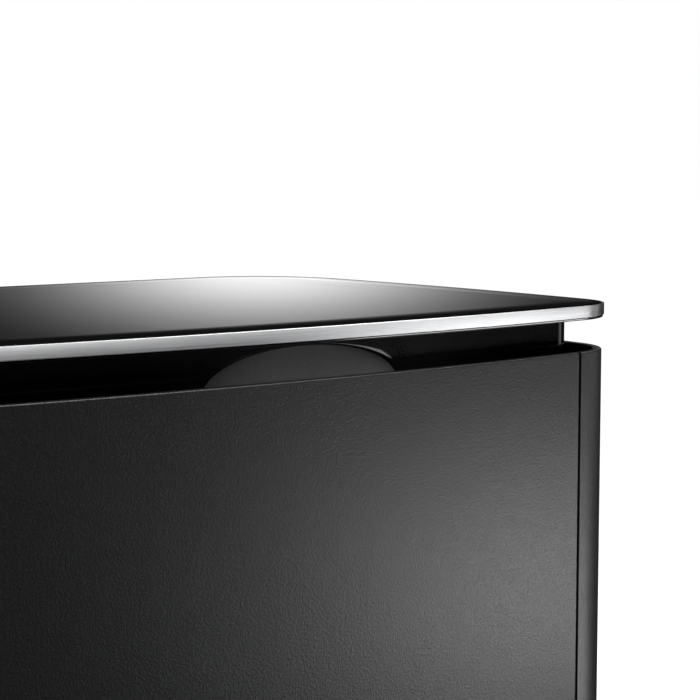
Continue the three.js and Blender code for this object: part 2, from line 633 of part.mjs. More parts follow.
// ---- sorting tubs on their shelf ----
const shelfY = [coverY[1] + 2, RUNNER_REAR_Y];
const shelf = box(-deckHalf, deckHalf, ...shelfY, SHELF_Z, SHELF_Z + SHEET);
add(cabinet, "tub_shelf", shelf, paintedSteel);
const roundedRect = (x0, x1, y0, y1, r) => {
  const s = new THREE.Shape();
  s.absarc(x1 - r, y1 - r, r, 0, 90 * deg);
  s.absarc(x0 + r, y1 - r, r, 90 * deg, 180 * deg);
  s.absarc(x0 + r, y0 + r, r, 180 * deg, 270 * deg);
  s.absarc(x1 - r, y0 + r, r, 270 * deg, 360 * deg);
  return new THREE.Shape(s.getPoints(4).slice(0, -1));
};
// An open tub with a tapered wall and a rolled rim.
const openTub = ([x0, x1], [y0, y1], [z0, z1], { wall, taper, rim, corner }) => {
  const level = (inset) =>
    roundedRect(x0 + inset, x1 - inset, y0 + inset, y1 - inset, corner).getPoints();
  const outside = loft(level(rim + taper), z0, level(rim), z1);
  const inside = loft(level(rim + taper + wall), z0 + wall, level(rim + wall), z1 + 1);
  const roll = upright(roundedRect(x0, x1, y0, y1, corner + rim), z1 - 6, z1);
  return cut(join(outside, roll), inside);
};
const TUB_TOP = COLLAR_TOP - 8;
const tubForm = { wall: 2.5, taper: 7, rim: 5, corner: 16 };
SIDES.forEach(([side, sign]) => {
  const tubY = [shelfY[0] + 4, shelfY[1] - 8];
  const tub = openTub([4, FRAME_X - 5], tubY, [SHELF_Z + SHEET + FIT, TUB_TOP], tubForm);
  add(cabinet, `sorting_tub_${side}`, onSide(tub, sign), binGrey);
});

// ---- drive bearings, guides and the return spring's rod ----
const BEARING_HALF = 18;
const layshaftLeft = -RAM_GEAR_X - 42;
[
  ["left", layshaftLeft + 10],
  ["right", FRAME_X - 10],
].forEach(([name, x]) => {
  const y = [LAYSHAFT_Y - BEARING_HALF, LAYSHAFT_Y + BEARING_HALF];
  const block = box(x - 6, x + 6, ...y, chamberBottom, LAYSHAFT_Z + BEARING_HALF);
  const shaftBore = bore("x", LAYSHAFT_R, LAYSHAFT_Y, LAYSHAFT_Z, x - 7, x + 7);
  add(cabinet, `layshaft_bearing_${name}`, cut(block, shaftBore), brass);
});
SIDES.forEach(([side, sign]) => {
  const x0 = FRAME_X - 8;
  const x1 = FRAME_X + SHEET + 6;
  const boss = cut(
    join(
      rod("x", PEDAL_SHAFT_R + 5.5, PEDAL_Y, PEDAL_Z, x0, x1),
      rod("x", PEDAL_SHAFT_R + 12, PEDAL_Y, PEDAL_Z, x0, FRAME_X - SCREWED),
    ),
    bore("x", PEDAL_SHAFT_R, PEDAL_Y, PEDAL_Z, x0 - 1, x1 + 1),
  );
  add(cabinet, `pedal_bearing_${side}`, onSide(boss, sign), brass);
});
const ROD_GUIDE_Y = [LAYSHAFT_Y - 60, LAYSHAFT_Y - 34];
const rodHole = (x) => bore("y", ROD_R, x, RAM_RACK_Z, ROD_GUIDE_Y[0] - 1, ROD_GUIDE_Y[1] + 1);
add(
  cabinet,
  "ram_rod_guide",
  cut(
    join(
      box(-ROD_X - 22, ROD_X + 22, ...ROD_GUIDE_Y, RAM_RACK_Z - 20, RAM_RACK_Z + 20),
      ...[-ROD_X, ROD_X].map((x) => box(x - 14, x + 14, ...ROD_GUIDE_Y, chamberBottom, RAM_RACK_Z - 19)),
    ),
    rodHole(ROD_X),
    rodHole(-ROD_X),
  ),
  paintedSteel,
);
const RACK_BACK_Y = LIFT_RACK_Y + 16;
const outsideFrame = FRAME_X + SHEET + SCREWED;
const rackGuide = (z0, z1) => {
  const rackHalf = GEAR_FACE / 2 + FIT;
  const slotY = [LIFT_RACK_Y + 2, RACK_BACK_Y + FIT];
  return cut(
    box(outsideFrame, GEAR_X + 14, LIFT_RACK_Y - 8, RACK_BACK_Y + 10, z0, z1),
    box(GEAR_X - rackHalf, GEAR_X + rackHalf, ...slotY, z0 - 1, z1 + 1),
  );
};
add(cabinet, "rack_guide_lower", rackGuide(150, 176), brass);
add(cabinet, "rack_guide_upper", rackGuide(388, 414), brass);
const SPRING_Y = RACK_BACK_Y + 21;
const SPRING_Z = [206.4, 344];
const SPRING_ROD_R = 4;
const LUG_Z = 196;
add(
  cabinet,
  "spring_rod",
  join(
    rod("z", SPRING_ROD_R, GEAR_X, SPRING_Y, LUG_Z - 14, SPRING_Z[1] + 6, 16),
    box(outsideFrame, GEAR_X + 12, SPRING_Y - 12, SPRING_Y + 12, SPRING_Z[1] + FIT, SPRING_Z[1] + 8),
  ),
  zincSteel,
);
const SPRING_R = 8.5;
const SPRING_WIRE_R = 1;
const SPRING_TURNS = 11;
class Coil extends THREE.Curve {
  getPoint(t, target = new THREE.Vector3()) {
    const angle = 2 * Math.PI * SPRING_TURNS * t;
    const low = SPRING_Z[0] + SPRING_WIRE_R + 0.2;
    const high = SPRING_Z[1] - SPRING_WIRE_R - 0.2;
    return target.set(
      GEAR_X + SPRING_R * Math.cos(angle),
      SPRING_Y + SPRING_R * Math.sin(angle),
      low + (high - low) * t,
    );
  }
}
const wire = new THREE.Shape(arcPoints(0, 0, SPRING_WIRE_R, 0, 2 * Math.PI, 6).slice(0, -1));
add(
  cabinet,
  "return_spring",
  solid(new THREE.ExtrudeGeometry(wire, { steps: SPRING_TURNS * 10, extrudePath: new Coil() })),
  springSteel,
);

// ---- fixed runners of the drawer ----
const SLIDE_Z = 205;
const RUNNER_WALL = 1.6;
const RUNNER_DEPTH = 12;
const RUNNER_HALF_HEIGHT = 20;
SIDES.forEach(([side, sign]) => {
  // A channel open towards the drawer, its web against the side frame.
  const x1 = FRAME_X - SCREWED;
  const room = RUNNER_HALF_HEIGHT - RUNNER_WALL;
  const runner = cut(
    box(
      x1 - RUNNER_DEPTH,
      x1,
      FRAME_FRONT_Y,
      RUNNER_REAR_Y,
      SLIDE_Z - RUNNER_HALF_HEIGHT,
      SLIDE_Z + RUNNER_HALF_HEIGHT,
    ),
    box(x1 - WIDTH, x1 - RUNNER_WALL, -DEPTH, DEPTH, SLIDE_Z - room, SLIDE_Z + room),
  );
  add(cabinet, `drawer_runner_${side}`, onSide(runner, sign), zincSteel);
});

// ---- door ----
const door = assembly("door");
// A bowed skin with a thicker rim along its top and bottom edges.
const frontSkin = (z0, z1) => {
  const half = SEAM_X - SEAM_GAP / 2;
  const skin = frontStrip(SHELL_INSET, SHELL_INSET + SHELL_WALL, half, z0, z1);
  const rim = frontStrip(SHELL_INSET, SHELL_INSET + RIM_WALL, half, z1 - RIM_HEIGHT, z1);
  return join(skin, rim);
};
// A pan behind the skin, open towards it.
const frontLiner = (z0, z1, halfWidth) => {
  const body = frontBlock(SHELL_INSET + SHELL_WALL + SCREWED, LINER_BACK_Y, halfWidth, z0, z1);
  const roomHalf = halfWidth - LINER_WALL;
  const roomBackY = LINER_BACK_Y - LINER_WALL;
  return cut(body, frontBlock(-5, roomBackY, roomHalf, z0 + LINER_WALL, z1 - LINER_WALL));
};
add(door, "door_panel", frontSkin(DOOR_BOTTOM, RIM_TOP), grainedPlastic);
const EAR_X = FRAME_X - 6.5;
const EAR_THICK = 5;
const earTop = DOOR_AXIS_Z + 40;
// An ear that carries the door on its pin, with a foot that reaches the liner's side.
const ear = cut(
  join(
    rod("x", 8, DOOR_AXIS_Y, DOOR_AXIS_Z, EAR_X, EAR_X + EAR_THICK, 20),
    box(EAR_X, EAR_X + EAR_THICK, DOOR_AXIS_Y - 8, DOOR_AXIS_Y + 1, DOOR_AXIS_Z, earTop),
    box(EAR_X - 6, EAR_X + 1, DOOR_AXIS_Y - 8, DOOR_AXIS_Y + 1, DOOR_AXIS_Z + 14, earTop),
  ),
  bore("x", 4, DOOR_AXIS_Y, DOOR_AXIS_Z, EAR_X - 1, EAR_X + EAR_THICK + 1, 20),
);
const linerBottom = DOOR_AXIS_Z + 8;
const linerTop = RIM_TOP - FINGER_DEPTH;
const WING_X = CHAMBER_HALF + 8;
const WING_R = linerTop - DOOR_AXIS_Z - 58.4;
const WING_SPAN = 48 * deg;
// A quadrant that closes the side of the open door.
const wing = () => {
  const arc = arcPoints(DOOR_AXIS_Y, DOOR_AXIS_Z, WING_R, 90 * deg - WING_SPAN, 90 * deg, 8);
  const hub = arcPoints(DOOR_AXIS_Y, DOOR_AXIS_Z, 22, 90 * deg, 90 * deg - WING_SPAN, 3);
  return sideways(new THREE.Shape([...arc, ...hub]), WING_X, WING_X + SHEET);
};
add(
  door,
  "door_liner",
  join(
    frontLiner(linerBottom, linerTop, LINER_HALF_WIDTH),
    ear,
    onSide(ear, -1),
    wing(),
    onSide(wing(), -1),
  ),
  linerGrey,
);
SIDES.forEach(([side, sign]) => {
  // The pin stands out of the side frame into the ear of the liner.
  const pin = rod("x", 4, DOOR_AXIS_Y, DOOR_AXIS_Z, EAR_X - 1, FRAME_X - SCREWED, 20);
  add(cabinet, `door_hinge_pin_${side}`, onSide(pin, sign), zincSteel);
});

// ---- drawer: panel, liner, grip, frame, inner slides and bin ----
const drawer = assembly("drawer");
add(drawer, "drawer_panel", frontSkin(DRAWER_BOTTOM, DRAWER_TOP), grainedPlastic);
const GRIP_SCOOP_DEPTH = 12;
const gripZ = DRAWER_TOP - (SCOOP_BELOW_TOP - (HEIGHT - RIM_TOP));
const gripFloor = DRAWER_TOP - FINGER_DEPTH - LINER_WALL;
const gripTop = DECK_Z - 5;
const gripY = LINER_BACK_Y - LINER_WALL;
const gripBall = (grow) =>
  cut(
    scoopBall(gripY, gripZ, SCOOP_HALF_WIDTH, SCOOP_HALF_HEIGHT, GRIP_SCOOP_DEPTH, grow),
    box(-WIDTH, WIDTH, -DEPTH, DEPTH, 0, gripFloor + LINER_WALL - grow),
    box(-WIDTH, WIDTH, -DEPTH, DEPTH, gripTop, HEIGHT),
  );
add(
  drawer,
  "drawer_liner",
  cut(
    join(
      frontLiner(DRAWER_BOTTOM + 5, DRAWER_TOP - FINGER_DEPTH, LINER_HALF_WIDTH),
      box(-LINER_HALF_WIDTH, LINER_HALF_WIDTH, gripY, LINER_BACK_Y, gripFloor, gripTop),
      cut(gripBall(SCOOP_WALL), box(-WIDTH, WIDTH, -DEPTH, gripY, 0, HEIGHT)),
    ),
    gripBall(0),
  ),
  glossBlack,
);
const TRAY_HALF = FRAME_X - 16;
const TRAY_WALL_HEIGHT = 90;
const trayY = [LINER_BACK_Y + FIT, RUNNER_REAR_Y - 20];
const trayZ = [DRAWER_BOTTOM + 6, DRAWER_BOTTOM + 6 + TRAY_WALL_HEIGHT];
const trayRoomHalf = TRAY_HALF - SHEET;
const trayRoomY = [trayY[0] + SHEET, trayY[1] - SHEET];
add(
  drawer,
  "drawer_tray",
  cut(
    box(-TRAY_HALF, TRAY_HALF, ...trayY, ...trayZ),
    box(-trayRoomHalf, trayRoomHalf, ...trayRoomY, trayZ[0] + SHEET, trayZ[1] + 1),
  ),
  paintedSteel,
);
SIDES.forEach(([side, sign]) => {
  const x0 = TRAY_HALF + FIT;
  const bar = box(x0, x0 + 9, LINER_BACK_Y + 14, trayY[1] - 2, SLIDE_Z - 16, SLIDE_Z + 16);
  add(drawer, `slide_inner_${side}`, onSide(bar, sign), zincSteel);
});
const BIN_HALF = TRAY_HALF - 8;
const BIN_FRONT_Y = gripY + GRIP_SCOOP_DEPTH + SCOOP_WALL + 6;
add(
  drawer,
  "bin",
  openTub(
    [-BIN_HALF, BIN_HALF],
    [BIN_FRONT_Y, trayRoomY[1] - 3],
    [trayZ[0] + SHEET + FIT, DRAWER_TOP - 6],
    { wall: 3, taper: 8, rim: 8, corner: 22 },
  ),
  binGrey,
);

// ---- pedal: shaft, arms, pad, tread and toothed sector ----
const pedal = assembly("pedal");
const shaftEnd = GEAR_X + GEAR_FACE / 2;
const padY = [FRONT_Y + 3.5, FRONT_Y + 60.5];
const ARM_HALF = 6;
const PAD_THICK = 5;
const padTop = PEDAL_PAD_REST_Z - 3;
const armShape = new THREE.Shape([
  new THREE.Vector2(PEDAL_Y + 14, PEDAL_Z - 13),
  new THREE.Vector2(PEDAL_Y - 20, PEDAL_Z - 14),
  new THREE.Vector2(padY[1], padTop - 25),
  new THREE.Vector2(padY[0] + 12, padTop - 11),
  new THREE.Vector2(padY[0] + 12, padTop - 2),
  new THREE.Vector2(padY[1] - 20, padTop - 2),
  new THREE.Vector2(PEDAL_Y - 20, PEDAL_Z + 16),
  new THREE.Vector2(PEDAL_Y + 14, PEDAL_Z + 13),
]);
const arm = (x) => sideways(armShape, x - ARM_HALF, x + ARM_HALF);
add(
  pedal,
  "pedal_lever",
  join(
    rod("x", PEDAL_SHAFT_R, PEDAL_Y, PEDAL_Z, -FRAME_X - SHEET - 8, GEAR_X - GEAR_FACE / 2 + 1),
    arm(PEDAL_ARM_X),
    arm(-PEDAL_ARM_X),
    box(-PEDAL_PAD_HALF, PEDAL_PAD_HALF, ...padY, padTop - PAD_THICK, padTop),
    box(-PEDAL_PAD_HALF, PEDAL_PAD_HALF, padY[0], padY[0] + 4, padTop - 13, padTop),
  ),
  brushedAluminium,
);
const treadHalf = PEDAL_PAD_HALF - 8;
const tread = box(-treadHalf, treadHalf, padY[0] + 7, padY[1] - 5, padTop + SCREWED, PEDAL_PAD_REST_Z);
const GROOVE_PITCH = 28;
const treadGrooves = [-2.5, -1.5, -0.5, 0.5, 1.5, 2.5].map((step) => {
  const x = step * GROOVE_PITCH;
  return box(x - 3, x + 3, padY[0] + 12, padY[1] - 10, PEDAL_PAD_REST_Z - 1.2, PEDAL_PAD_REST_Z + 1);
});
add(pedal, "pedal_tread", cut(tread, ...treadGrooves), rubber);
const pitchAngle = (2 * Math.PI) / SECTOR_TEETH;
const spareTeeth = 1;
const sectorFirst = -Math.ceil((PEDAL_DEG * deg) / pitchAngle) - spareTeeth;
const sectorTeeth = toothPoints(SECTOR_TEETH, RACK_MODULE, sectorFirst, spareTeeth, 0);
const hubArc = arcPoints(0, 0, 18, 60 * deg, 300 * deg + sectorFirst * pitchAngle * 0.2, 8);
const sectorShape = new THREE.Shape([...sectorTeeth, ...hubArc]);
add(
  pedal,
  "pedal_sector",
  sideways(sectorShape, GEAR_X - GEAR_FACE / 2 + 1.4, shaftEnd).translate([0, PEDAL_Y, PEDAL_Z]),
  zincSteel,
);

// ---- lift rack ----
const lift = assembly("lift_rack");
const liftShape = () => {
  const toPoint = (z) => ([along, out]) => new THREE.Vector2(LIFT_RACK_Y - out, z + along);
  const reach = [-LIFT - 9, 8];
  const low = rackTeeth(RACK_MODULE, ...reach).map(toPoint(PEDAL_Z));
  const high = rackTeeth(RACK_MODULE, ...reach).map(toPoint(LAYSHAFT_Z));
  const rootY = LIFT_RACK_Y + ROOT_SLACK * RACK_MODULE;
  const bottom = low[0].y - 1;
  const top = high[high.length - 1].y + 4;
  const outline = [
    new THREE.Vector2(rootY, top),
    new THREE.Vector2(RACK_BACK_Y, top),
    new THREE.Vector2(RACK_BACK_Y, bottom),
    new THREE.Vector2(rootY, bottom),
    ...low,
    ...high,
  ];
  return new THREE.Shape(outline.reverse());
};
const lug = cut(
  box(GEAR_X - 6, GEAR_X + 6, RACK_BACK_Y - 1, SPRING_Y + 11, LUG_Z, SPRING_Z[0]),
  rod("z", SPRING_ROD_R + 1, GEAR_X, SPRING_Y, LUG_Z - 1, SPRING_Z[0] + 1, 16),
);
add(
  lift,
  "lift_rack_bar",
  join(sideways(liftShape(), GEAR_X - GEAR_FACE / 2, GEAR_X + GEAR_FACE / 2), lug),
  zincSteel,
);

// ---- layshaft and its pinions ----
const layshaft = assembly("layshaft");
add(
  layshaft,
  "layshaft_bar",
  rod("x", LAYSHAFT_R, LAYSHAFT_Y, LAYSHAFT_Z, layshaftLeft, GEAR_X + GEAR_FACE / 2 + 4),
  zincSteel,
);
const PRESS_FIT = 0.05;
const pinion = (teeth, module, at, x, face) => {
  const ends = [x - face / 2, x + face / 2];
  return gearSolid(teeth, module, at, LAYSHAFT_R + PRESS_FIT, LAYSHAFT_Y, LAYSHAFT_Z, ...ends);
};
add(layshaft, "drive_pinion", pinion(DRIVE_TEETH, RACK_MODULE, 0, GEAR_X, GEAR_FACE), brass);
SIDES.forEach(([side, sign]) => {
  add(
    layshaft,
    `ram_pinion_${side}`,
    pinion(RAM_TEETH, RAM_MODULE, 90 * deg, sign * RAM_GEAR_X, RAM_FACE),
    zincSteel,
  );
});

// ---- ram: plate, racks, rods and shield ----
const ram = assembly("ram");
const ramHalf = CHAMBER_HALF - 3;
const RAM_BOTTOM = DECK_TOP + 4;
const ramBackY = RAM_FRONT_Y + RAM_THICK;
const ramRibs = [-5, -3, -1, 1, 3, 5].map((step) => {
  const x = (step * (ramHalf - 30)) / 5;
  return box(x - 3, x + 3, ramBackY - 1, ramBackY + 22, RAM_BOTTOM + 8, RAM_TOP - 4);
});
const faceRibs = ribHeights(17, 5).map((z) =>
  box(-ramHalf, ramHalf, RAM_FRONT_Y, RAM_FRONT_Y + RIB_PROUD + 1, z - RIB_HALF, z + RIB_HALF),
);
const plateY = RAM_FRONT_Y + RIB_PROUD;
const shieldZ = RAM_TOP + FIT;
const ramRods = [-ROD_X, ROD_X].map((x) =>
  rod("y", ROD_R, x, RAM_RACK_Z, ramBackY - 1, ROD_GUIDE_Y[1] + RAM_TRAVEL + 12),
);
add(
  ram,
  "ram_plate",
  join(
    box(-ramHalf, ramHalf, plateY, ramBackY, RAM_BOTTOM, shieldZ),
    box(-ramHalf, ramHalf, plateY, plateY + RAM_TRAVEL + 18, shieldZ - 2, shieldZ),
    ...faceRibs,
    ...ramRibs,
    ...ramRods,
  ),
  paintedSteel,
);
const ramRackShape = () => {
  const teeth = rackTeeth(RAM_MODULE, -16, RAM_TRAVEL + 14).map(
    ([along, out]) => new THREE.Vector2(LAYSHAFT_Y + along, RAM_RACK_Z - out),
  );
  const rootZ = RAM_RACK_Z + ROOT_SLACK * RAM_MODULE;
  const rear = teeth[teeth.length - 1].x + 1;
  return new THREE.Shape([
    new THREE.Vector2(ramBackY + FIT, rootZ),
    ...teeth,
    new THREE.Vector2(rear, rootZ),
    new THREE.Vector2(rear, rootZ + 12),
    new THREE.Vector2(ramBackY + FIT, rootZ + 12),
  ]);
};
SIDES.forEach(([side, sign]) => {
  const half = RAM_FACE / 2 - 1;
  const bar = sideways(ramRackShape(), RAM_GEAR_X - half, RAM_GEAR_X + half);
  add(ram, `ram_rack_${side}`, onSide(bar, sign), zincSteel);
});

export default compactor;
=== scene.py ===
"""The looks of a pedal-driven trash compactor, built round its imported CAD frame, in metres.

Each operator makes one piece or a group of like pieces and rides it on its CAD body.
"""

import json
import math
from typing import NamedTuple

import bmesh
import bpy
from mathutils import Matrix, Vector


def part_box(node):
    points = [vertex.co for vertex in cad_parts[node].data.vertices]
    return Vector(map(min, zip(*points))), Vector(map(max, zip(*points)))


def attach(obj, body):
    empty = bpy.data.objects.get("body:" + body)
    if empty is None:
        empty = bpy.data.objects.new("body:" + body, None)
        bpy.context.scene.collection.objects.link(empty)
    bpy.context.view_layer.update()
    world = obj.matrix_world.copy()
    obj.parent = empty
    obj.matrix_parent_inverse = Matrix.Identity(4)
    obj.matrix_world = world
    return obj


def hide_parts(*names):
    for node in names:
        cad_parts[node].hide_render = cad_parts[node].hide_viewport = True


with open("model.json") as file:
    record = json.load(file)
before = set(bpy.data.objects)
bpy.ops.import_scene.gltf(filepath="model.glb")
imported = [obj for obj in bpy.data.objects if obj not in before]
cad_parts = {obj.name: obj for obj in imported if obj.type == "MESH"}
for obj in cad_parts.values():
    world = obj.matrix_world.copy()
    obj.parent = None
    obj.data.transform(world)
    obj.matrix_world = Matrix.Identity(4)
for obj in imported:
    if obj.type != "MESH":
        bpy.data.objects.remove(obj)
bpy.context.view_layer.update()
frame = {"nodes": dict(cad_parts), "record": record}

bl_info = {
    "name": "Trash Compactor Looks",
    "version": (1, 0, 0),
    "blender": (4, 5, 0),
    "location": "View3D > Sidebar > Compactor",
    "description": "Detailed pieces, finishes and studio for a pedal-driven trash compactor",
    "category": "Object",
}

MM = 0.001

# ---- places read from the frame ----
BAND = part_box("lid_band")
WIDTH = BAND[1].x - BAND[0].x
DEPTH = BAND[1].y - BAND[0].y
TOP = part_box("lid_glass")[1].z
RIM_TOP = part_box("door_panel")[1].z
COLLAR_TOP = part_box("top_collar")[1].z
COLLAR_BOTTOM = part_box("top_collar")[0].z
CHANNEL_DEPTH = 25 * MM
CHANNEL_FLOOR = 3 * MM
CHANNEL_Z = RIM_TOP - CHANNEL_DEPTH
FRONT_Y = -DEPTH / 2
REAR_Y = DEPTH / 2


# ---- settings ----
def length(name, description, default):
    return bpy.props.FloatProperty(
        name=name, description=description, default=default, unit="LENGTH", precision=5
    )


def colour(name, description, default):
    return bpy.props.FloatVectorProperty(
        name=name, description=description, default=default, size=3, subtype="COLOR", min=0, max=1
    )


class CompactorOutline(bpy.types.PropertyGroup):
    """The plan of the body: four bowed sides with round corners."""

    front_bow: length("Front bow", "Radius of the bowed front", 2005 * MM)
    side_bow: length("Side bow", "Radius of the bowed sides", 1860 * MM)
    rear_bow: length("Rear bow", "Radius of the bowed rear", 13.0)
    front_corner: length("Front corner", "Radius of each front corner", 53 * MM)
    rear_corner: length("Rear corner", "Radius of each rear corner", 85 * MM)
    neck_corner: length("Neck corner", "Radius of the neck's front corners", 26 * MM)
    neck_inset: length("Neck inset", "Neck set in from the lid's edge", 27 * MM)
    shell_inset: length("Shell inset", "Body set in from the lid's edge", 1.5 * MM)
    rim: length("Rim", "Width of the body's top rim", 6 * MM)
    wall: length("Wall", "Thickness of the outer mouldings", 3.2 * MM)


class CompactorScoop(bpy.types.PropertyGroup):
    """The finger scoop pressed into the neck."""

    half_width: length("Half width", "Half of the scoop's width", 77.5 * MM)
    half_height: length("Half height", "Half of the scoop's height", 27.3 * MM)
    depth: length("Depth", "Depth of the scoop in the neck", 22 * MM)
    below_top: length("Below the lid's top", "From the lid's top to the scoop's centre", 40.4 * MM)
    lip: length("Lip", "Radius of the scoop's rounded lip", 2.2 * MM)


class CompactorFixings(bpy.types.PropertyGroup):
    """The rear panel's screws and the pedal's tread."""

    screw_radius: length("Screw head", "Radius of a screw's head", 4 * MM)
    screw_height: length("Screw height", "Height of a screw's head", 1.8 * MM)
    screw_edge: length("Screw edge", "From a panel's edge to its screws", 16 * MM)
    screw_rows: bpy.props.IntProperty(
        name="Screw rows", description="Screws up each side", default=6, min=2
    )
    tread_ribs: bpy.props.IntProperty(
        name="Tread ribs", description="Ribs on the pedal", default=7, min=1
    )


class CompactorFinishes(bpy.types.PropertyGroup):
    """Colours and grain of the finishes."""

    glass: colour("Glass", "Colour behind the lid's glass", (0.003, 0.003, 0.0035))
    aluminium: colour("Aluminium", "Brushed aluminium", (0.70, 0.705, 0.715))
    gloss: colour("Gloss black", "Collar and tray", (0.006, 0.006, 0.007))
    grained: colour("Grained charcoal", "Door, drawer and shells", (0.008, 0.0083, 0.009))
    # the scoop's grey is partly its matt grained finish and partly painted light: it is made much
    # lighter than the black neck it is moulded with, to stand in for light caught in the bowl
    scoop: colour("Scoop", "Matt finish inside the finger scoop", (0.16, 0.162, 0.167))
    grain_size: length("Grain size", "Size of the moulded grain", 1.15 * MM)
    grain_depth: length("Grain depth", "Depth of the moulded grain", 0.22 * MM)


class CompactorStage(bpy.types.PropertyGroup):
    """Camera, floor and studio lights."""

    lens: bpy.props.FloatProperty(
        name="Lens", description="Focal length in millimetres", default=97.5
    )
    camera_above_lid: length("Camera above lid", "Height of the camera above the lid", 98.3 * MM)
    camera_x: length("Camera X", "Camera's place across", -689.4 * MM)
    camera_y: length("Camera Y", "Camera's place in front", -1090.2 * MM)
    pitch: bpy.props.FloatProperty(
        name="Pitch", description="Camera tilted down", default=math.radians(5.8), subtype="ANGLE"
    )
    yaw: bpy.props.FloatProperty(
        name="Yaw", description="Camera turned right", default=math.radians(38.73), subtype="ANGLE"
    )
    floor_size: length("Floor size", "Width of the pale floor", 60.0)


def settings():
    return bpy.context.scene.compactor


class CompactorSettings(bpy.types.PropertyGroup):
    """All that a user would change."""

    outline: bpy.props.PointerProperty(type=CompactorOutline, name="Outline")
    scoop: bpy.props.PointerProperty(type=CompactorScoop, name="Scoop")
    fixings: bpy.props.PointerProperty(type=CompactorFixings, name="Fixings")
    finishes: bpy.props.PointerProperty(type=CompactorFinishes, name="Finishes")
    stage: bpy.props.PointerProperty(type=CompactorStage, name="Stage")


# ---- plan outline ----
FRONT_STEPS = 30
CORNER_STEPS = 22
SIDE_STEPS = 24
REAR_CORNER_STEPS = 30
REAR_STEPS = 12


def arc(centre, radius, start, end, steps):
    """Points of an arc, each with its outward normal."""
    made = []
    for i in range(steps + 1):
        t = start + (end - start) * i / steps
        normal = Vector((math.cos(t), math.sin(t)))
        made.append((centre + radius * normal, normal))
    return made


def corner_centre(bow, bow_radius, side, side_radius, sign):
    """Centre of a corner that touches both bows from inside, on the right."""
    apart = side - bow
    along = (bow_radius**2 - side_radius**2 + apart.length**2) / (2 * apart.length)
    off = math.sqrt(bow_radius**2 - along**2)
    unit = apart.normalized()
    base = bow + along * unit
    choices = [base + s * off * Vector((-unit.y, unit.x)) for s in (1, -1)]
    return max(choices, key=lambda p: p.x + sign * p.y)


def right_half(front_corner=None):
    """Points and normals from the front's middle round the right side to the rear's middle."""
    o = settings().outline
    corner = front_corner or o.front_corner
    front = Vector((0, FRONT_Y + o.front_bow))
    rear = Vector((0, REAR_Y - o.rear_bow))
    side = Vector((WIDTH / 2 - o.side_bow, 0))
    f = corner_centre(front, o.front_bow - corner, side, o.side_bow - corner, -1)
    r = corner_centre(rear, o.rear_bow - o.rear_corner, side, o.side_bow - o.rear_corner, 1)

    def angle(a, b):
        return math.atan2(b.y - a.y, b.x - a.x)

    runs = [
        arc(front, o.front_bow, -math.pi / 2, angle(front, f), FRONT_STEPS),
        arc(f, corner, angle(front, f), angle(side, f), CORNER_STEPS),
        arc(side, o.side_bow, angle(side, f), angle(side, r), SIDE_STEPS),
        arc(r, o.rear_corner, angle(side, r), angle(rear, r), REAR_CORNER_STEPS),
        arc(rear, o.rear_bow, angle(rear, r), math.pi / 2, REAR_STEPS),
    ]
    return runs[0] + [p for run in runs[1:] for p in run[1:]]


def mirrored(run):
    return [(Vector((-p.x, p.y)), Vector((-n.x, n.y))) for p, n in run]


def whole_plan(front_corner=None):
    """The closed outline, anticlockwise from the front's middle."""
    right = right_half(front_corner)
    return right + mirrored(right[1:-1])[::-1]


def neck_plan():
    o = settings().outline
    return whole_plan(o.neck_corner + o.neck_inset)


def cut_at(run, x, from_front):
    """A right-hand run cut at a place across, keeping what lies outside it."""
    for i, ((a, na), (b, nb)) in enumerate(zip(run, run[1:])):
        if (a.x - x) * (b.x - x) <= 0 and a.x != b.x and (from_front == (b.x > a.x)):
            t = (x - a.x) / (b.x - a.x)
            point = (a.lerp(b, t), na.lerp(nb, t).normalized())
            return [point] + run[i + 1 :] if from_front else run[: i + 1] + [point]
    raise ValueError("the run doesn't pass that place")


def front_y(x, inset):
    bow = settings().outline.front_bow
    return FRONT_Y + bow - math.sqrt((bow - inset) ** 2 - x**2)


# ---- profiles and meshes ----
def rounded(corners, radii, steps=4):
    """A closed profile with each corner rounded by its own radius."""
    made = []
    n = len(corners)
    for i, (corner, radius) in enumerate(zip(corners, radii)):
        here = Vector(corner)
        before = Vector(corners[i - 1]) - here
        after = Vector(corners[(i + 1) % n]) - here
        if not radius:
            made.append(here)
            continue
        a, b = before.normalized(), after.normalized()
        half = a.angle(b) / 2
        reach = radius / math.tan(half)
        middle = here + (a + b).normalized() * radius / math.sin(half)
        start, end = here + a * reach - middle, here + b * reach - middle
        turn = start.angle_signed(end)
        for k in range(steps + 1):
            spoke = start.copy()
            spoke.rotate(Matrix.Rotation(-turn * k / steps, 2))
            made.append(middle + spoke)
    return made


def new_mesh(name, vertices, faces, uvs=None):
    mesh = bpy.data.meshes.new(name)
    mesh.from_pydata([tuple(v) for v in vertices], [], faces)
    if uvs:
        layer = mesh.uv_layers.new(name="Grain")
        for loop in mesh.loops:
            layer.data[loop.index].uv = uvs[loop.index]
    mesh.validate()
    return mesh


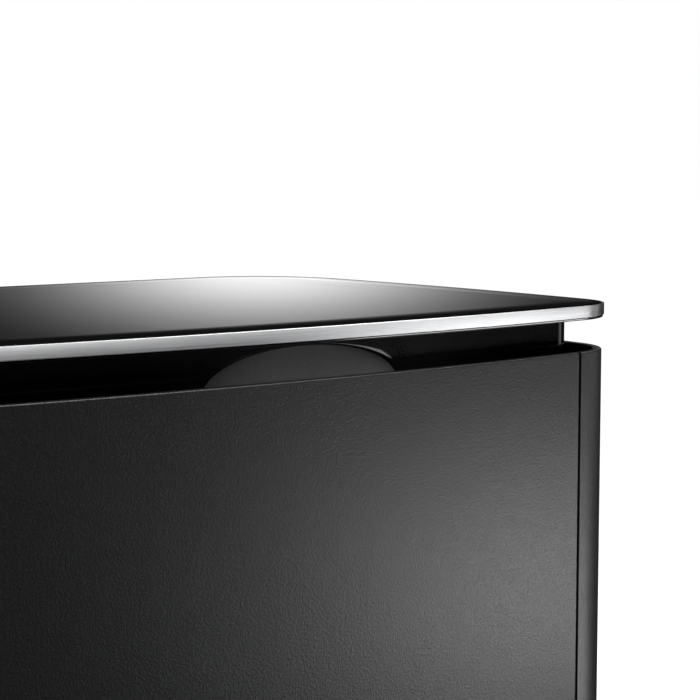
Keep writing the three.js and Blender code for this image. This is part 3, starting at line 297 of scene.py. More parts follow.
def sweep(name, run, profile, closed):
    """A closed profile of (inset, z) carried along a plan run, with a UV map in metres."""
    n, m = len(profile), len(run)
    vertices = [
        (p.x - normal.x * inset, p.y - normal.y * inset, z)
        for p, normal in run
        for inset, z in profile
    ]
    along = [0.0]
    for (a, _), (b, _) in zip(run, run[1:]):
        along.append(along[-1] + (b - a).length)
    if closed:
        along.append(along[-1] + (run[0][0] - run[-1][0]).length)
    across = [0.0]
    for a, b in zip(profile, profile[1:] + profile[:1]):
        across.append(across[-1] + (Vector(b) - Vector(a)).length)
    faces, uvs = [], []
    for i in range(m if closed else m - 1):
        j = (i + 1) % m
        for k in range(n):
            q = (k + 1) % n
            faces.append((i * n + k, j * n + k, j * n + q, i * n + q))
            uvs += [
                (along[i], across[k]),
                (along[i + 1], across[k]),
                (along[i + 1], across[k + 1]),
                (along[i], across[k + 1]),
            ]
    if not closed:
        faces += [tuple(range(n)), tuple((m - 1) * n + k for k in reversed(range(n)))]
        uvs += [(c.x, c.y) for c in map(Vector, profile)]
        uvs += [(c.x, c.y) for c in map(Vector, reversed(profile))]
    return tidy(new_mesh(name, vertices, faces, uvs))


def tidy(mesh):
    """Welds doubles and turns every face outwards."""
    bm = bmesh.new()
    bm.from_mesh(mesh)
    bmesh.ops.remove_doubles(bm, verts=bm.verts, dist=1e-7)
    bmesh.ops.dissolve_degenerate(bm, edges=bm.edges, dist=1e-7)
    bmesh.ops.recalc_face_normals(bm, faces=bm.faces)
    bm.to_mesh(mesh)
    bm.free()
    return mesh


def plate(name, plan, levels):
    """A solid plate whose outline at each level is the plan set in, with flat ends."""
    m = len(plan)
    vertices = [
        (p.x - normal.x * inset, p.y - normal.y * inset, z)
        for inset, z in levels
        for p, normal in plan
    ]
    faces = []
    for level in range(len(levels) - 1):
        for i in range(m):
            j = (i + 1) % m
            a, b = level * m, (level + 1) * m
            faces.append((a + i, a + j, b + j, b + i))
    faces.append(tuple(reversed(range(m))))
    faces.append(tuple((len(levels) - 1) * m + i for i in range(m)))
    return tidy(new_mesh(name, vertices, faces))


def joined(name, *meshes):
    """Several closed meshes as one, keeping their UV maps."""
    bm = bmesh.new()
    for mesh in meshes:
        bm.from_mesh(mesh)
    made = bpy.data.meshes.new(name)
    bm.to_mesh(made)
    bm.free()
    return made


def box_mesh(name, low, high):
    bm = bmesh.new()
    bmesh.ops.create_cube(bm, size=1)
    for v in bm.verts:
        v.co = Vector([(a + b) / 2 + c * (b - a) for a, b, c in zip(low, high, v.co)])
    made = bpy.data.meshes.new(name)
    bm.to_mesh(made)
    bm.free()
    return made


def put(name, mesh, materials, body, slot, replaces=(), bevel=0.0, bevel_angle=40):
    """A finished piece: smooth shading, worn edges, its body and what it stands for; the slot argument
    is not used.
    """
    piece = bpy.data.objects.new(name, mesh)
    bpy.context.scene.collection.objects.link(piece)
    if not mesh.materials:
        for material in materials if isinstance(materials, list) else [materials]:
            mesh.materials.append(material)
    smooth(piece, bevel, bevel_angle)
    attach(piece, body)
    if replaces:
        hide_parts(*replaces)
    return piece


def smooth(piece, bevel, bevel_angle):
    for polygon in piece.data.polygons:
        polygon.use_smooth = True
    piece.data.set_sharp_from_angle(angle=math.radians(35))
    if bevel:
        edges = piece.modifiers.new("Rounded edges", "BEVEL")
        edges.width = bevel
        edges.segments = 3
        edges.limit_method = "ANGLE"
        edges.angle_limit = math.radians(bevel_angle)
        edges.harden_normals = True
        edges.miter_outer = "MITER_ARC"


# ---- finishes ----
def link(tree, value, socket):
    if isinstance(value, bpy.types.NodeSocket):
        tree.links.new(value, socket)
    else:
        socket.default_value = value


def node(tree, kind, inputs=None, **properties):
    made = tree.nodes.new(kind)
    for key, value in properties.items():
        setattr(made, key, value)
    for key, value in (inputs or {}).items():
        link(tree, value, made.inputs[key])
    return made


def finish(name, base, roughness, **sockets):
    """A principled material and its node tree."""
    material = bpy.data.materials.new(name)
    material.use_nodes = True
    tree = material.node_tree
    bsdf = tree.nodes["Principled BSDF"]
    bsdf.inputs["Base Color"].default_value = (*base, 1)
    bsdf.inputs["Roughness"].default_value = roughness
    for key, value in sockets.items():
        bsdf.inputs[key.replace("_", " ")].default_value = value
    return material, tree, bsdf


def coordinates(tree, scale=(1, 1, 1), uv=False):
    source = node(tree, "ShaderNodeTexCoord").outputs["UV" if uv else "Object"]
    return node(tree, "ShaderNodeMapping", {"Vector": source, "Scale": scale}).outputs[0]


def noise(tree, vector, scale, detail=3.0, rough=0.55):
    made = node(tree, "ShaderNodeTexNoise", {"Vector": vector, "Scale": scale, "Detail": detail})
    made.inputs["Roughness"].default_value = rough
    return made.outputs["Fac"]


def spread(tree, value, low, high, at=(0.3, 0.7)):
    """A value remapped between two numbers."""
    inputs = {"Value": value, "From Min": at[0], "From Max": at[1], "To Min": low, "To Max": high}
    return node(tree, "ShaderNodeMapRange", inputs).outputs[0]


def shade(tree, base, factor):
    """A colour multiplied by a varying factor."""
    inputs = {"Color": (*base, 1), "Value": factor}
    return node(tree, "ShaderNodeHueSaturation", inputs).outputs[0]


def bump(tree, height, depth, strength=1.0, normal=None):
    inputs = {"Height": height, "Distance": depth, "Strength": strength}
    if normal is not None:
        inputs["Normal"] = normal
    return node(tree, "ShaderNodeBump", inputs).outputs[0]


def worn(tree, factor, amount):
    """A factor raised on convex edges, where handling polishes them."""
    pointy = node(tree, "ShaderNodeNewGeometry").outputs["Pointiness"]
    edge = spread(tree, pointy, 0.0, amount, at=(0.52, 0.60))
    return node(tree, "ShaderNodeMath", {0: factor, 1: edge}, operation="ADD").outputs[0]


def grained_plastic(name, base, roughness, size, depth):
    """Moulded plastic with a fine leather-like grain."""
    material, tree, bsdf = finish(name, base, roughness)
    where = coordinates(tree)
    cells = node(
        tree, "ShaderNodeTexVoronoi", {"Vector": where, "Scale": 1 / size}, feature="SMOOTH_F1"
    ).outputs["Distance"]
    speckle = noise(tree, where, 1.7 / size, 4.0, 0.65)
    height = node(tree, "ShaderNodeMath", {0: cells, 1: speckle}, operation="MULTIPLY").outputs[0]
    link(tree, bump(tree, height, depth), bsdf.inputs["Normal"])
    cloud = spread(tree, noise(tree, where, 9.0, 2.0), 0.9, 1.1)
    fleck = spread(tree, speckle, 0.6, 1.5)
    tone = node(tree, "ShaderNodeMath", {0: cloud, 1: fleck}, operation="MULTIPLY").outputs[0]
    link(tree, shade(tree, base, worn(tree, tone, 0.5)), bsdf.inputs["Base Color"])
    link(tree, spread(tree, speckle, roughness - 0.07, roughness + 0.09), bsdf.inputs["Roughness"])
    return material


def gloss_plastic(name, base, roughness=0.05, shine=0.5):
    """Polished plastic with faint moulding waves and fine dust."""
    material, tree, bsdf = finish(name, base, roughness, IOR=1.5, Specular_IOR_Level=shine)
    where = coordinates(tree)
    waves = noise(tree, where, 14.0, 1.0)
    link(tree, bump(tree, waves, 0.00006), bsdf.inputs["Normal"])
    dust = noise(tree, where, 900.0, 4.0, 0.7)
    haze = spread(tree, dust, roughness, roughness + 0.08, at=(0.45, 0.75))
    link(tree, haze, bsdf.inputs["Roughness"])
    tone = worn(tree, spread(tree, dust, 0.9, 1.5), 0.6)
    link(tree, shade(tree, base, tone), bsdf.inputs["Base Color"])
    return material


def black_glass(name, base):
    """Back-painted glass, polished, with the faintest haze."""
    material, tree, bsdf = finish(name, base, 0.03, IOR=1.52)
    where = coordinates(tree)
    haze = noise(tree, where, 5.0, 3.0)
    smear = noise(tree, coordinates(tree, (60, 9, 9)), 1.0, 3.0)
    both = node(tree, "ShaderNodeMath", {0: haze, 1: smear}, operation="MULTIPLY").outputs[0]
    link(tree, spread(tree, both, 0.02, 0.07, at=(0.15, 0.4)), bsdf.inputs["Roughness"])
    link(tree, shade(tree, base, spread(tree, haze, 0.9, 1.1)), bsdf.inputs["Base Color"])
    return material


def brushed_metal(name, base, roughness, uv=True, stretch=(6, 1500), direction=(1, 1, 1)):
    """Metal brushed along one direction, with fine streaks across it."""
    material, tree, bsdf = finish(name, base, roughness, Metallic=1.0, Anisotropic=0.9)
    if uv:
        where = coordinates(tree, (*stretch, 1), uv=True)
        tangent = node(tree, "ShaderNodeTangent", direction_type="UV_MAP", uv_map="Grain")
        link(tree, tangent.outputs[0], bsdf.inputs["Tangent"])
        bsdf.inputs["Anisotropic Rotation"].default_value = 0.25
    else:
        where = coordinates(tree, direction)
    streaks = noise(tree, where, 1.0, 4.0, 0.6)
    broad = noise(tree, coordinates(tree, (3, 60, 1), uv=uv) if uv else coordinates(tree), 7.0, 2.0)
    link(tree, bump(tree, streaks, 0.00001, 0.5), bsdf.inputs["Normal"])
    link(tree, spread(tree, streaks, roughness - 0.06, roughness + 0.1), bsdf.inputs["Roughness"])
    tone = node(
        tree,
        "ShaderNodeMath",
        {0: spread(tree, streaks, 0.86, 1.1), 1: spread(tree, broad, 0.95, 1.05)},
        operation="MULTIPLY",
    ).outputs[0]
    link(tree, shade(tree, base, tone), bsdf.inputs["Base Color"])
    return material


def coated_steel(name, base):
    """Powder coat with orange-peel texture and brighter edges."""
    material, tree, bsdf = finish(name, base, 0.42)
    where = coordinates(tree)
    peel = noise(tree, where, 900.0, 2.0)
    link(tree, bump(tree, peel, 0.00008), bsdf.inputs["Normal"])
    tone = worn(tree, spread(tree, noise(tree, where, 11.0), 0.85, 1.15), 1.2)
    link(tree, shade(tree, base, tone), bsdf.inputs["Base Color"])
    link(tree, spread(tree, peel, 0.36, 0.5), bsdf.inputs["Roughness"])
    return material


def plated_steel(name, base, roughness):
    """Plated sheet and bar with rolling marks and soft stains."""
    material, tree, bsdf = finish(name, base, roughness, Metallic=1.0)
    rolled = noise(tree, coordinates(tree, (40, 900, 900)), 1.0, 3.0)
    stain = noise(tree, coordinates(tree), 18.0, 5.0, 0.65)
    link(tree, bump(tree, rolled, 0.00002, 0.6), bsdf.inputs["Normal"])
    link(tree, spread(tree, stain, roughness - 0.08, roughness + 0.14), bsdf.inputs["Roughness"])
    tone = worn(tree, spread(tree, stain, 0.8, 1.1), 0.5)
    link(tree, shade(tree, base, tone), bsdf.inputs["Base Color"])
    return material


def moulded_rubber(name, base):
    """Matt rubber with a dusty bloom."""
    material, tree, bsdf = finish(name, base, 0.8)
    where = coordinates(tree)
    grit = noise(tree, where, 1500.0, 4.0, 0.7)
    bloom = noise(tree, where, 35.0, 4.0)
    link(tree, bump(tree, grit, 0.00006), bsdf.inputs["Normal"])
    tone = worn(tree, spread(tree, bloom, 0.8, 1.6), 1.0)
    link(tree, shade(tree, base, tone), bsdf.inputs["Base Color"])
    link(tree, spread(tree, grit, 0.72, 0.9), bsdf.inputs["Roughness"])
    return material


FINISHES = {}


def make_finishes():
    """Every finish, once, under the record's slot names."""
    c = settings().finishes
    grain = (c.grain_size, c.grain_depth)
    across_pedal = (14, 900, 900)
    FINISHES.update(
        black_glass=black_glass("Black glass", c.glass),
        brushed_aluminium=brushed_metal("Brushed aluminium", c.aluminium, 0.45),
        brushed_pedal=brushed_metal(
            "Brushed pedal", c.aluminium, 0.34, uv=False, direction=across_pedal
        ),
        gloss_black=gloss_plastic("Gloss black", c.gloss),
        satin_black=gloss_plastic("Satin black", c.gloss, 0.1, 0.2),
        grained_plastic=grained_plastic("Grained charcoal", c.grained, 0.37, *grain),
        # the scoop finish: real matt grain, on a grey base that is painted light over the black moulding
        scoop=grained_plastic("Matt scoop with painted light", c.scoop, 0.62, c.grain_size * 0.8, c.grain_depth),
        liner_grey=grained_plastic("Liner grey", (0.085, 0.087, 0.092), 0.6, 0.9 * MM, 0.05 * MM),
        bin_grey=grained_plastic("Bin grey", (0.17, 0.18, 0.19), 0.55, 1.3 * MM, 0.08 * MM),
        rubber=moulded_rubber("Moulded rubber", (0.014, 0.014, 0.014)),
        painted_steel=coated_steel("Powder coat", (0.055, 0.058, 0.066)),
        zinc_steel=plated_steel("Zinc plate", (0.55, 0.56, 0.57), 0.34),
        spring_steel=plated_steel("Spring steel", (0.32, 0.33, 0.34), 0.28),
        brass=plated_steel("Bearing bronze", (0.58, 0.42, 0.17), 0.32),
    )


# ---- node trees ----
def new_tree(name, numbers):
    """A geometry tree with named inputs: geometry, each number, and a material."""
    tree = bpy.data.node_groups.new(name, "GeometryNodeTree")
    add = tree.interface.new_socket
    add("Geometry", in_out="OUTPUT", socket_type="NodeSocketGeometry")
    add("Geometry", in_out="INPUT", socket_type="NodeSocketGeometry")
    for label, default in numbers.items():
        kind = "NodeSocketInt" if isinstance(default, int) else "NodeSocketFloat"
        add(label, in_out="INPUT", socket_type=kind).default_value = default
    add("Material", in_out="INPUT", socket_type="NodeSocketMaterial")
    return tree, tree.nodes.new("NodeGroupInput").outputs


def end_tree(tree, geometry, material):
    real = node(tree, "GeometryNodeRealizeInstances", {0: geometry}).outputs[0]
    done = node(tree, "GeometryNodeSetMaterial", {"Geometry": real, "Material": material})
    tree.links.new(done.outputs[0], tree.nodes.new("NodeGroupOutput").inputs[0])
    return tree


def baked(tree, mesh, values):
    """The plain mesh that a tree makes of a mesh."""
    work = bpy.data.objects.new(tree.name, mesh)
    bpy.context.scene.collection.objects.link(work)
    modifier = work.modifiers.new(tree.name, "NODES")
    modifier.node_group = tree
    for item in tree.interface.items_tree:
        if item.in_out == "INPUT" and item.name in values:
            modifier[item.identifier] = values[item.name]
    graph = bpy.context.evaluated_depsgraph_get()
    made = bpy.data.meshes.new_from_object(work.evaluated_get(graph))
    work.modifiers.remove(modifier)
    bpy.data.objects.remove(work)
    return tidy(made)


def maths(tree, operation, *values):
    inputs = dict(enumerate(values))
    return node(tree, "ShaderNodeMath", inputs, operation=operation).outputs[0]


def dot(tree, a, b):
    made = node(tree, "ShaderNodeVectorMath", {0: a, 1: b}, operation="DOT_PRODUCT")
    return made.outputs["Value"]


def place(tree, x=0.0, y=0.0, z=0.0):
    return node(tree, "ShaderNodeCombineXYZ", {0: x, 1: y, 2: z}).outputs[0]


def moved(tree, geometry, by):
    return node(tree, "GeometryNodeTransform", {"Geometry": geometry, "Translation": by}).outputs[0]


def bowed_front_tree():
    """Carries a section, drawn as a loop of edges, along the bowed front."""
    tree, given = new_tree(
        "Bowed front", {"Bow radius": 2.0, "Half width": 0.2, "Front": -0.2, "Steps": 61}
    )
    half = maths(tree, "ARCSINE", maths(tree, "DIVIDE", given["Half width"], given["Bow radius"]))
    path = node(
        tree,
        "GeometryNodeCurveArc",
        {
            "Resolution": given["Steps"],
            "Radius": given["Bow radius"],
            "Start Angle": maths(tree, "SUBTRACT", -math.pi / 2, half),
            "Sweep Angle": maths(tree, "MULTIPLY", half, 2.0),
        },
    ).outputs["Curve"]
    middle = place(tree, y=maths(tree, "ADD", given["Front"], given["Bow radius"]))
    placed = {"Curve": moved(tree, path, middle)}
    upright = node(tree, "GeometryNodeSetCurveNormal", placed, mode="Z_UP")
    section = node(tree, "GeometryNodeMeshToCurve", {0: given["Geometry"]}).outputs[0]
    swept = node(
        tree,
        "GeometryNodeCurveToMesh",
        {"Curve": upright.outputs[0], "Profile Curve": section, "Fill Caps": True},
    )
    return end_tree(tree, swept.outputs[0], given["Material"])


def extruded(tree, mesh, offset, scale=None, top=None):
    """A face drawn out along its normal, then scaled; returns the mesh and its top."""
    inputs = {"Mesh": mesh, "Offset Scale": offset, "Individual": False}
    if top is not None:
        inputs["Selection"] = top
    drawn = node(tree, "GeometryNodeExtrudeMesh", inputs, mode="FACES")
    mesh, top = drawn.outputs["Mesh"], drawn.outputs["Top"]
    if scale is not None:
        inputs = {"Geometry": mesh, "Selection": top, "Scale": scale}
        mesh = node(tree, "GeometryNodeScaleElements", inputs).outputs[0]
    return mesh, top


def screws_tree():
    """A pan-head screw with a hex socket, standing on each vertex along its normal."""
    tree, given = new_tree("Screws", {"Head radius": 0.004, "Head height": 0.0015})
    radius, height = given["Head radius"], given["Head height"]
    disc = node(
        tree, "GeometryNodeMeshCircle", {"Vertices": 18, "Radius": radius}, fill_type="NGON"
    ).outputs[0]
    head, top = extruded(tree, disc, maths(tree, "MULTIPLY", height, 0.5))
    head, top = extruded(tree, head, maths(tree, "MULTIPLY", height, 0.35), 0.86, top)
    head, top = extruded(tree, head, maths(tree, "MULTIPLY", height, 0.15), 0.7, top)
    head, top = extruded(tree, head, 0.0, 0.75, top)
    head, top = extruded(tree, head, maths(tree, "MULTIPLY", height, -0.6), None, top)
    under = node(tree, "GeometryNodeFlipFaces", {0: disc}).outputs[0]
    both = tree.nodes.new("GeometryNodeJoinGeometry")
    for part in (under, head):
        tree.links.new(part, both.inputs[0])
    welded = {"Geometry": both.outputs[0], "Distance": 1e-6}
    closed = node(tree, "GeometryNodeMergeByDistance", welded)
    way = node(tree, "GeometryNodeInputNamedAttribute", {"Name": "stand"}, data_type="FLOAT_VECTOR")
    aligned = {"Vector": way.outputs["Attribute"]}
    stand = node(tree, "FunctionNodeAlignRotationToVector", aligned, axis="Z").outputs[0]
    copies = node(
        tree,
        "GeometryNodeInstanceOnPoints",
        {"Points": given["Geometry"], "Instance": closed.outputs[0], "Rotation": stand},
    )
    return end_tree(tree, copies.outputs[0], given["Material"])


def tread_tree():
    """A mat with round-topped ribs across it, equally spaced from front to rear."""
    sizes = {"Width": 0.2, "Length": 0.05, "Height": 0.004, "Ribs": 7, "Base share": 0.5}
    tree, given = new_tree("Ribbed tread", sizes)
    width, long, high, count = (given[k] for k in ("Width", "Length", "Height", "Ribs"))
    low = maths(tree, "MULTIPLY", high, given["Base share"])
    size = place(tree, width, long, low)
    mat = node(tree, "GeometryNodeMeshCube", {"Size": size}).outputs["Mesh"]
    mat = moved(tree, mat, place(tree, z=maths(tree, "MULTIPLY", low, 0.5)))
    pitch = maths(tree, "DIVIDE", long, count)
    rib_depth = maths(tree, "MULTIPLY", pitch, 0.6)
    size = place(tree, maths(tree, "MULTIPLY", width, 0.985), rib_depth, high)
    rib = node(tree, "GeometryNodeMeshCube", {"Size": size}).outputs["Mesh"]
    rib = moved(tree, rib, place(tree, z=maths(tree, "MULTIPLY", high, 0.5)))
    first = maths(tree, "MULTIPLY", maths(tree, "SUBTRACT", pitch, long), 0.5)
    line = node(
        tree,
        "GeometryNodeMeshLine",
        {"Count": count, "Start Location": place(tree, y=first), "Offset": place(tree, y=pitch)},
    ).outputs[0]
    ribs = node(tree, "GeometryNodeInstanceOnPoints", {"Points": line, "Instance": rib}).outputs[0]
    real = node(tree, "GeometryNodeRealizeInstances", {0: ribs}).outputs[0]
    union = tree.nodes.new("GeometryNodeMeshBoolean")
    union.operation = "UNION"
    for part in (mat, real):
        tree.links.new(part, union.inputs["Mesh 2"])
    return end_tree(tree, union.outputs["Mesh"], given["Material"])


def loop_mesh(name, points):
    """Points joined in a ring by edges, flat on z = 0."""
    mesh = bpy.data.meshes.new(name)
    n = len(points)
    mesh.from_pydata([(x, y, 0) for x, y in points], [(i, (i + 1) % n) for i in range(n)], [])
    return mesh


# ---- operators ----
class PieceOperator:
    """What every operator here shares."""

    bl_options = {"REGISTER", "UNDO"}

    def execute(self, context):
        if not FINISHES:
            make_finishes()
        self.make(settings())
        return {"FINISHED"}


class Softbox(NamedTuple):
    """A softbox: its place by direction from the front, then size in metres and power in watts."""

    name: str
    azimuth: float
    elevation: float
    distance: float
    size: tuple
    power: float


SOFTBOXES = (
    Softbox("Right softbox", azimuth=50, elevation=-10.5, distance=2.4, size=(1.0, 0.46), power=14.5),
    Softbox("Side softbox", azimuth=76, elevation=3, distance=2.2, size=(0.5, 0.5), power=0.8),
    Softbox("Side overhead softbox", azimuth=100, elevation=52, distance=2.5, size=(1.6, 0.8), power=35),
    Softbox("Overhead softbox", azimuth=15, elevation=62, distance=2.8, size=(2.4, 1.6), power=75),
)
AIM_SHARE = 0.8  # the softboxes point at this share of the height

# a soft glow on the horizon behind the lid, in degrees
GLOW_AZIMUTH, GLOW_ELEVATION = 36.1, 2.9
GLOW_HALF_WIDTH, GLOW_HALF_HEIGHT = 5.0, 1.8
GLOW_STRENGTH = 1.6
ROOM_LOW, ROOM_HIGH = 0.006, 0.45  # the room's brightness near the horizon and overhead

SPOT_POWER = 26
SPOT_ANGLE = 9
SPOT_AWAY = (-0.75, -1.3, 0.2)  # from the scoop to the spot


class COMPACTOR_OT_stage(PieceOperator, bpy.types.Operator):
    """Camera, floor, surroundings and studio lights"""

    bl_idname = "compactor.stage"
    bl_label = "Stage"

    def make(self, s):
        st = s.stage
        scene = bpy.context.scene
        data = bpy.data.cameras.new("Camera")
        data.lens = st.lens
        data.sensor_width = 36
        data.clip_end = 100
        camera = bpy.data.objects.new("Camera", data)
        scene.collection.objects.link(camera)
        camera.location = (st.camera_x, st.camera_y, TOP + st.camera_above_lid)
        camera.rotation_euler = (math.pi / 2 - st.pitch, 0, -st.yaw)
        scene.camera = camera
        self.floor(st.floor_size)
        self.surroundings()
        for box in SOFTBOXES:
            self.softbox(box)
        self.scoop_spot()
        scene.view_settings.view_transform = "Standard"

    def scoop_spot(self):
        """A narrow soft spot from the front that reaches into the finger scoop."""
        light = bpy.data.lights.new("Scoop spot", "SPOT")
        light.energy = SPOT_POWER
        light.spot_size = math.radians(SPOT_ANGLE)
        light.spot_blend = 1.0
        light.shadow_soft_size = 0.03
        lamp = bpy.data.objects.new("Scoop spot", light)
        away = Vector(SPOT_AWAY)
        lamp.location = Vector((0.01, FRONT_Y, TOP - 35 * MM)) + away
        lamp.rotation_euler = away.to_track_quat("Z", "Y").to_euler()
        bpy.context.scene.collection.objects.link(lamp)

    def softbox(self, box):
        """A rectangular light that faces the upper part of the body."""
        light = bpy.data.lights.new(box.name, "AREA")
        light.shape = "RECTANGLE"
        light.size, light.size_y = box.size
        light.energy = box.power
        a, e = math.radians(box.azimuth), math.radians(box.elevation)
        away = Vector((math.sin(a) * math.cos(e), -math.cos(a) * math.cos(e), math.sin(e)))
        lamp = bpy.data.objects.new(box.name, light)
        lamp.location = Vector((0, 0, TOP * AIM_SHARE)) + away * box.distance
        lamp.rotation_euler = away.to_track_quat("Z", "Y").to_euler()
        lamp.visible_camera = False
        bpy.context.scene.collection.objects.link(lamp)

    def floor(self, size):
        """A pale floor that shows shadows but lends the piece no light or reflection."""
        h = size / 2
        mesh = new_mesh("Floor", [(-h, -h, 0), (h, -h, 0), (h, h, 0), (-h, h, 0)], [(0, 1, 2, 3)])
        floor = bpy.data.objects.new("Floor", mesh)
        bpy.context.scene.collection.objects.link(floor)
        glow = {"Emission_Color": (1, 1, 1, 1), "Emission_Strength": 0.86}
        pale = finish("Pale floor", (0.8, 0.8, 0.8), 0.7, Specular_IOR_Level=0.1, **glow)
        mesh.materials.append(pale[0])
        floor.visible_glossy = False
        floor.visible_diffuse = False

    def surroundings(self):
        """White to the camera; to the piece, a dim room with one low glow behind the lid."""
        world = bpy.data.worlds.new("Studio")
        bpy.context.scene.world = world
        world.use_nodes = True
        tree = world.node_tree
        tree.nodes.clear()
        way = node(tree, "ShaderNodeTexCoord").outputs["Generated"]
        up = node(tree, "ShaderNodeSeparateXYZ", {0: way}).outputs["Z"]
        room = spread(tree, up, ROOM_LOW, ROOM_HIGH, at=(0.38, 0.95))
        both = maths(tree, "ADD", room, self.glow(tree, way, up))
        dim = node(tree, "ShaderNodeBackground", {"Color": both, "Strength": 1.0})
        white = node(tree, "ShaderNodeBackground", {"Color": (1, 1, 1, 1), "Strength": 1.0})
        seen = node(tree, "ShaderNodeLightPath").outputs["Is Camera Ray"]
        mix = node(tree, "ShaderNodeMixShader", {0: seen, 1: dim.outputs[0], 2: white.outputs[0]})
        node(tree, "ShaderNodeOutputWorld", {"Surface": mix.outputs[0]})

    def glow(self, tree, way, up):
        """A bell-shaped patch of light round one direction, wider than it is tall."""
        a = math.radians(GLOW_AZIMUTH)
        wide, tall = math.radians(GLOW_HALF_WIDTH), math.radians(GLOW_HALF_HEIGHT)
        sideways = (math.cos(a) / wide, -math.sin(a) / wide, 0)
        rise = maths(tree, "SUBTRACT", up, math.sin(math.radians(GLOW_ELEVATION)))
        offsets = (dot(tree, way, sideways), maths(tree, "DIVIDE", rise, tall))
        squares = [maths(tree, "POWER", maths(tree, "ABSOLUTE", off), 2.0) for off in offsets]
        fall = maths(tree, "EXPONENT", maths(tree, "MULTIPLY", maths(tree, "ADD", *squares), -1.0))
        ahead = dot(tree, way, (math.sin(a), math.cos(a), 0))
        behind = maths(tree, "GREATER_THAN", ahead, 0.0)
        return maths(tree, "MULTIPLY", maths(tree, "MULTIPLY", fall, behind), GLOW_STRENGTH)


class COMPACTOR_OT_lid(PieceOperator, bpy.types.Operator):
    """The lid's glass, brushed band, tray and seal"""

    bl_idname = "compactor.lid"
    bl_label = "Lid"

    def make(self, s):
        plan = whole_plan()
        self.glass(plan)
        self.band(plan)
        self.tray(plan)
        self.seal(s.outline.neck_inset)

    def seal(self, inset):
        """A soft strip under the lid that rests on the neck's rim."""
        low, high = (c.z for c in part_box("lid_seal"))
        outer, inner, soft = inset + 1 * MM, inset + 5 * MM, 0.8 * MM
        corners = [(outer, low), (inner, low), (inner, high), (outer, high)]
        mesh = sweep("lid_seal_bulb", neck_plan(), rounded(corners, [soft, soft, 0, 0]), True)
        put("lid_seal_bulb", mesh, FINISHES["rubber"], "lid", "rubber", ["lid_seal"])

    def glass(self, plan):
        """A plate with a ground bevel round its flat top."""
        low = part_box("lid_glass")[0].z
        edge, bevel, drop = 2 * MM, 6.5 * MM, 0.6 * MM
        inner = edge + bevel
        levels = [
            (edge + 0.4 * MM, low),
            (edge, low + 0.4 * MM),
            (edge, TOP - drop),
            (edge + 0.1 * MM, TOP - drop + 0.05 * MM),
            (inner - 0.4 * MM, TOP - 0.03 * MM),
            (inner, TOP),
            (inner + 25 * MM, TOP),
            (inner + 26 * MM, TOP),
        ]
        mesh = plate("lid_glass_plate", plan, levels)
        put("lid_glass_plate", mesh, FINISHES["black_glass"], "lid", "black_glass", ["lid_glass"])

    def band(self, plan):
        """The brushed band that frames the glass, with slightly eased edges."""
        low, high = (c.z for c in BAND)
        wall = 1.6 * MM
        profile = [
            (wall, low),
            (0.3 * MM, low),
            (0.08 * MM, low + 0.1 * MM),
            (0.0, low + 0.3 * MM),
            (0.0, high - 0.35 * MM),
            (0.1 * MM, high - 0.1 * MM),
            (0.35 * MM, high),
            (wall, high),
        ]
        mesh = sweep("lid_trim_band", plan, profile, True)
        metal = FINISHES["brushed_aluminium"]
        put("lid_trim_band", mesh, metal, "lid", "brushed_aluminium", ["lid_band"])

    def tray(self, plan):
        """The black underside, seen as a thin edge below the band."""
        low, high = (c.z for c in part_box("lid_tray"))
        lip = BAND[0].z - 0.4 * MM
        levels = [
            (1.6 * MM, low),
            (1.0 * MM, low + 0.2 * MM),
            (0.8 * MM, low + 0.6 * MM),
            (0.8 * MM, lip),
            (2.0 * MM, lip + 0.02 * MM),
            (2.0 * MM, high),
        ]
        mesh = plate("lid_tray_moulding", plan, levels)
        put("lid_tray_moulding", mesh, FINISHES["gloss_black"], "lid", "gloss_black", ["lid_tray"])


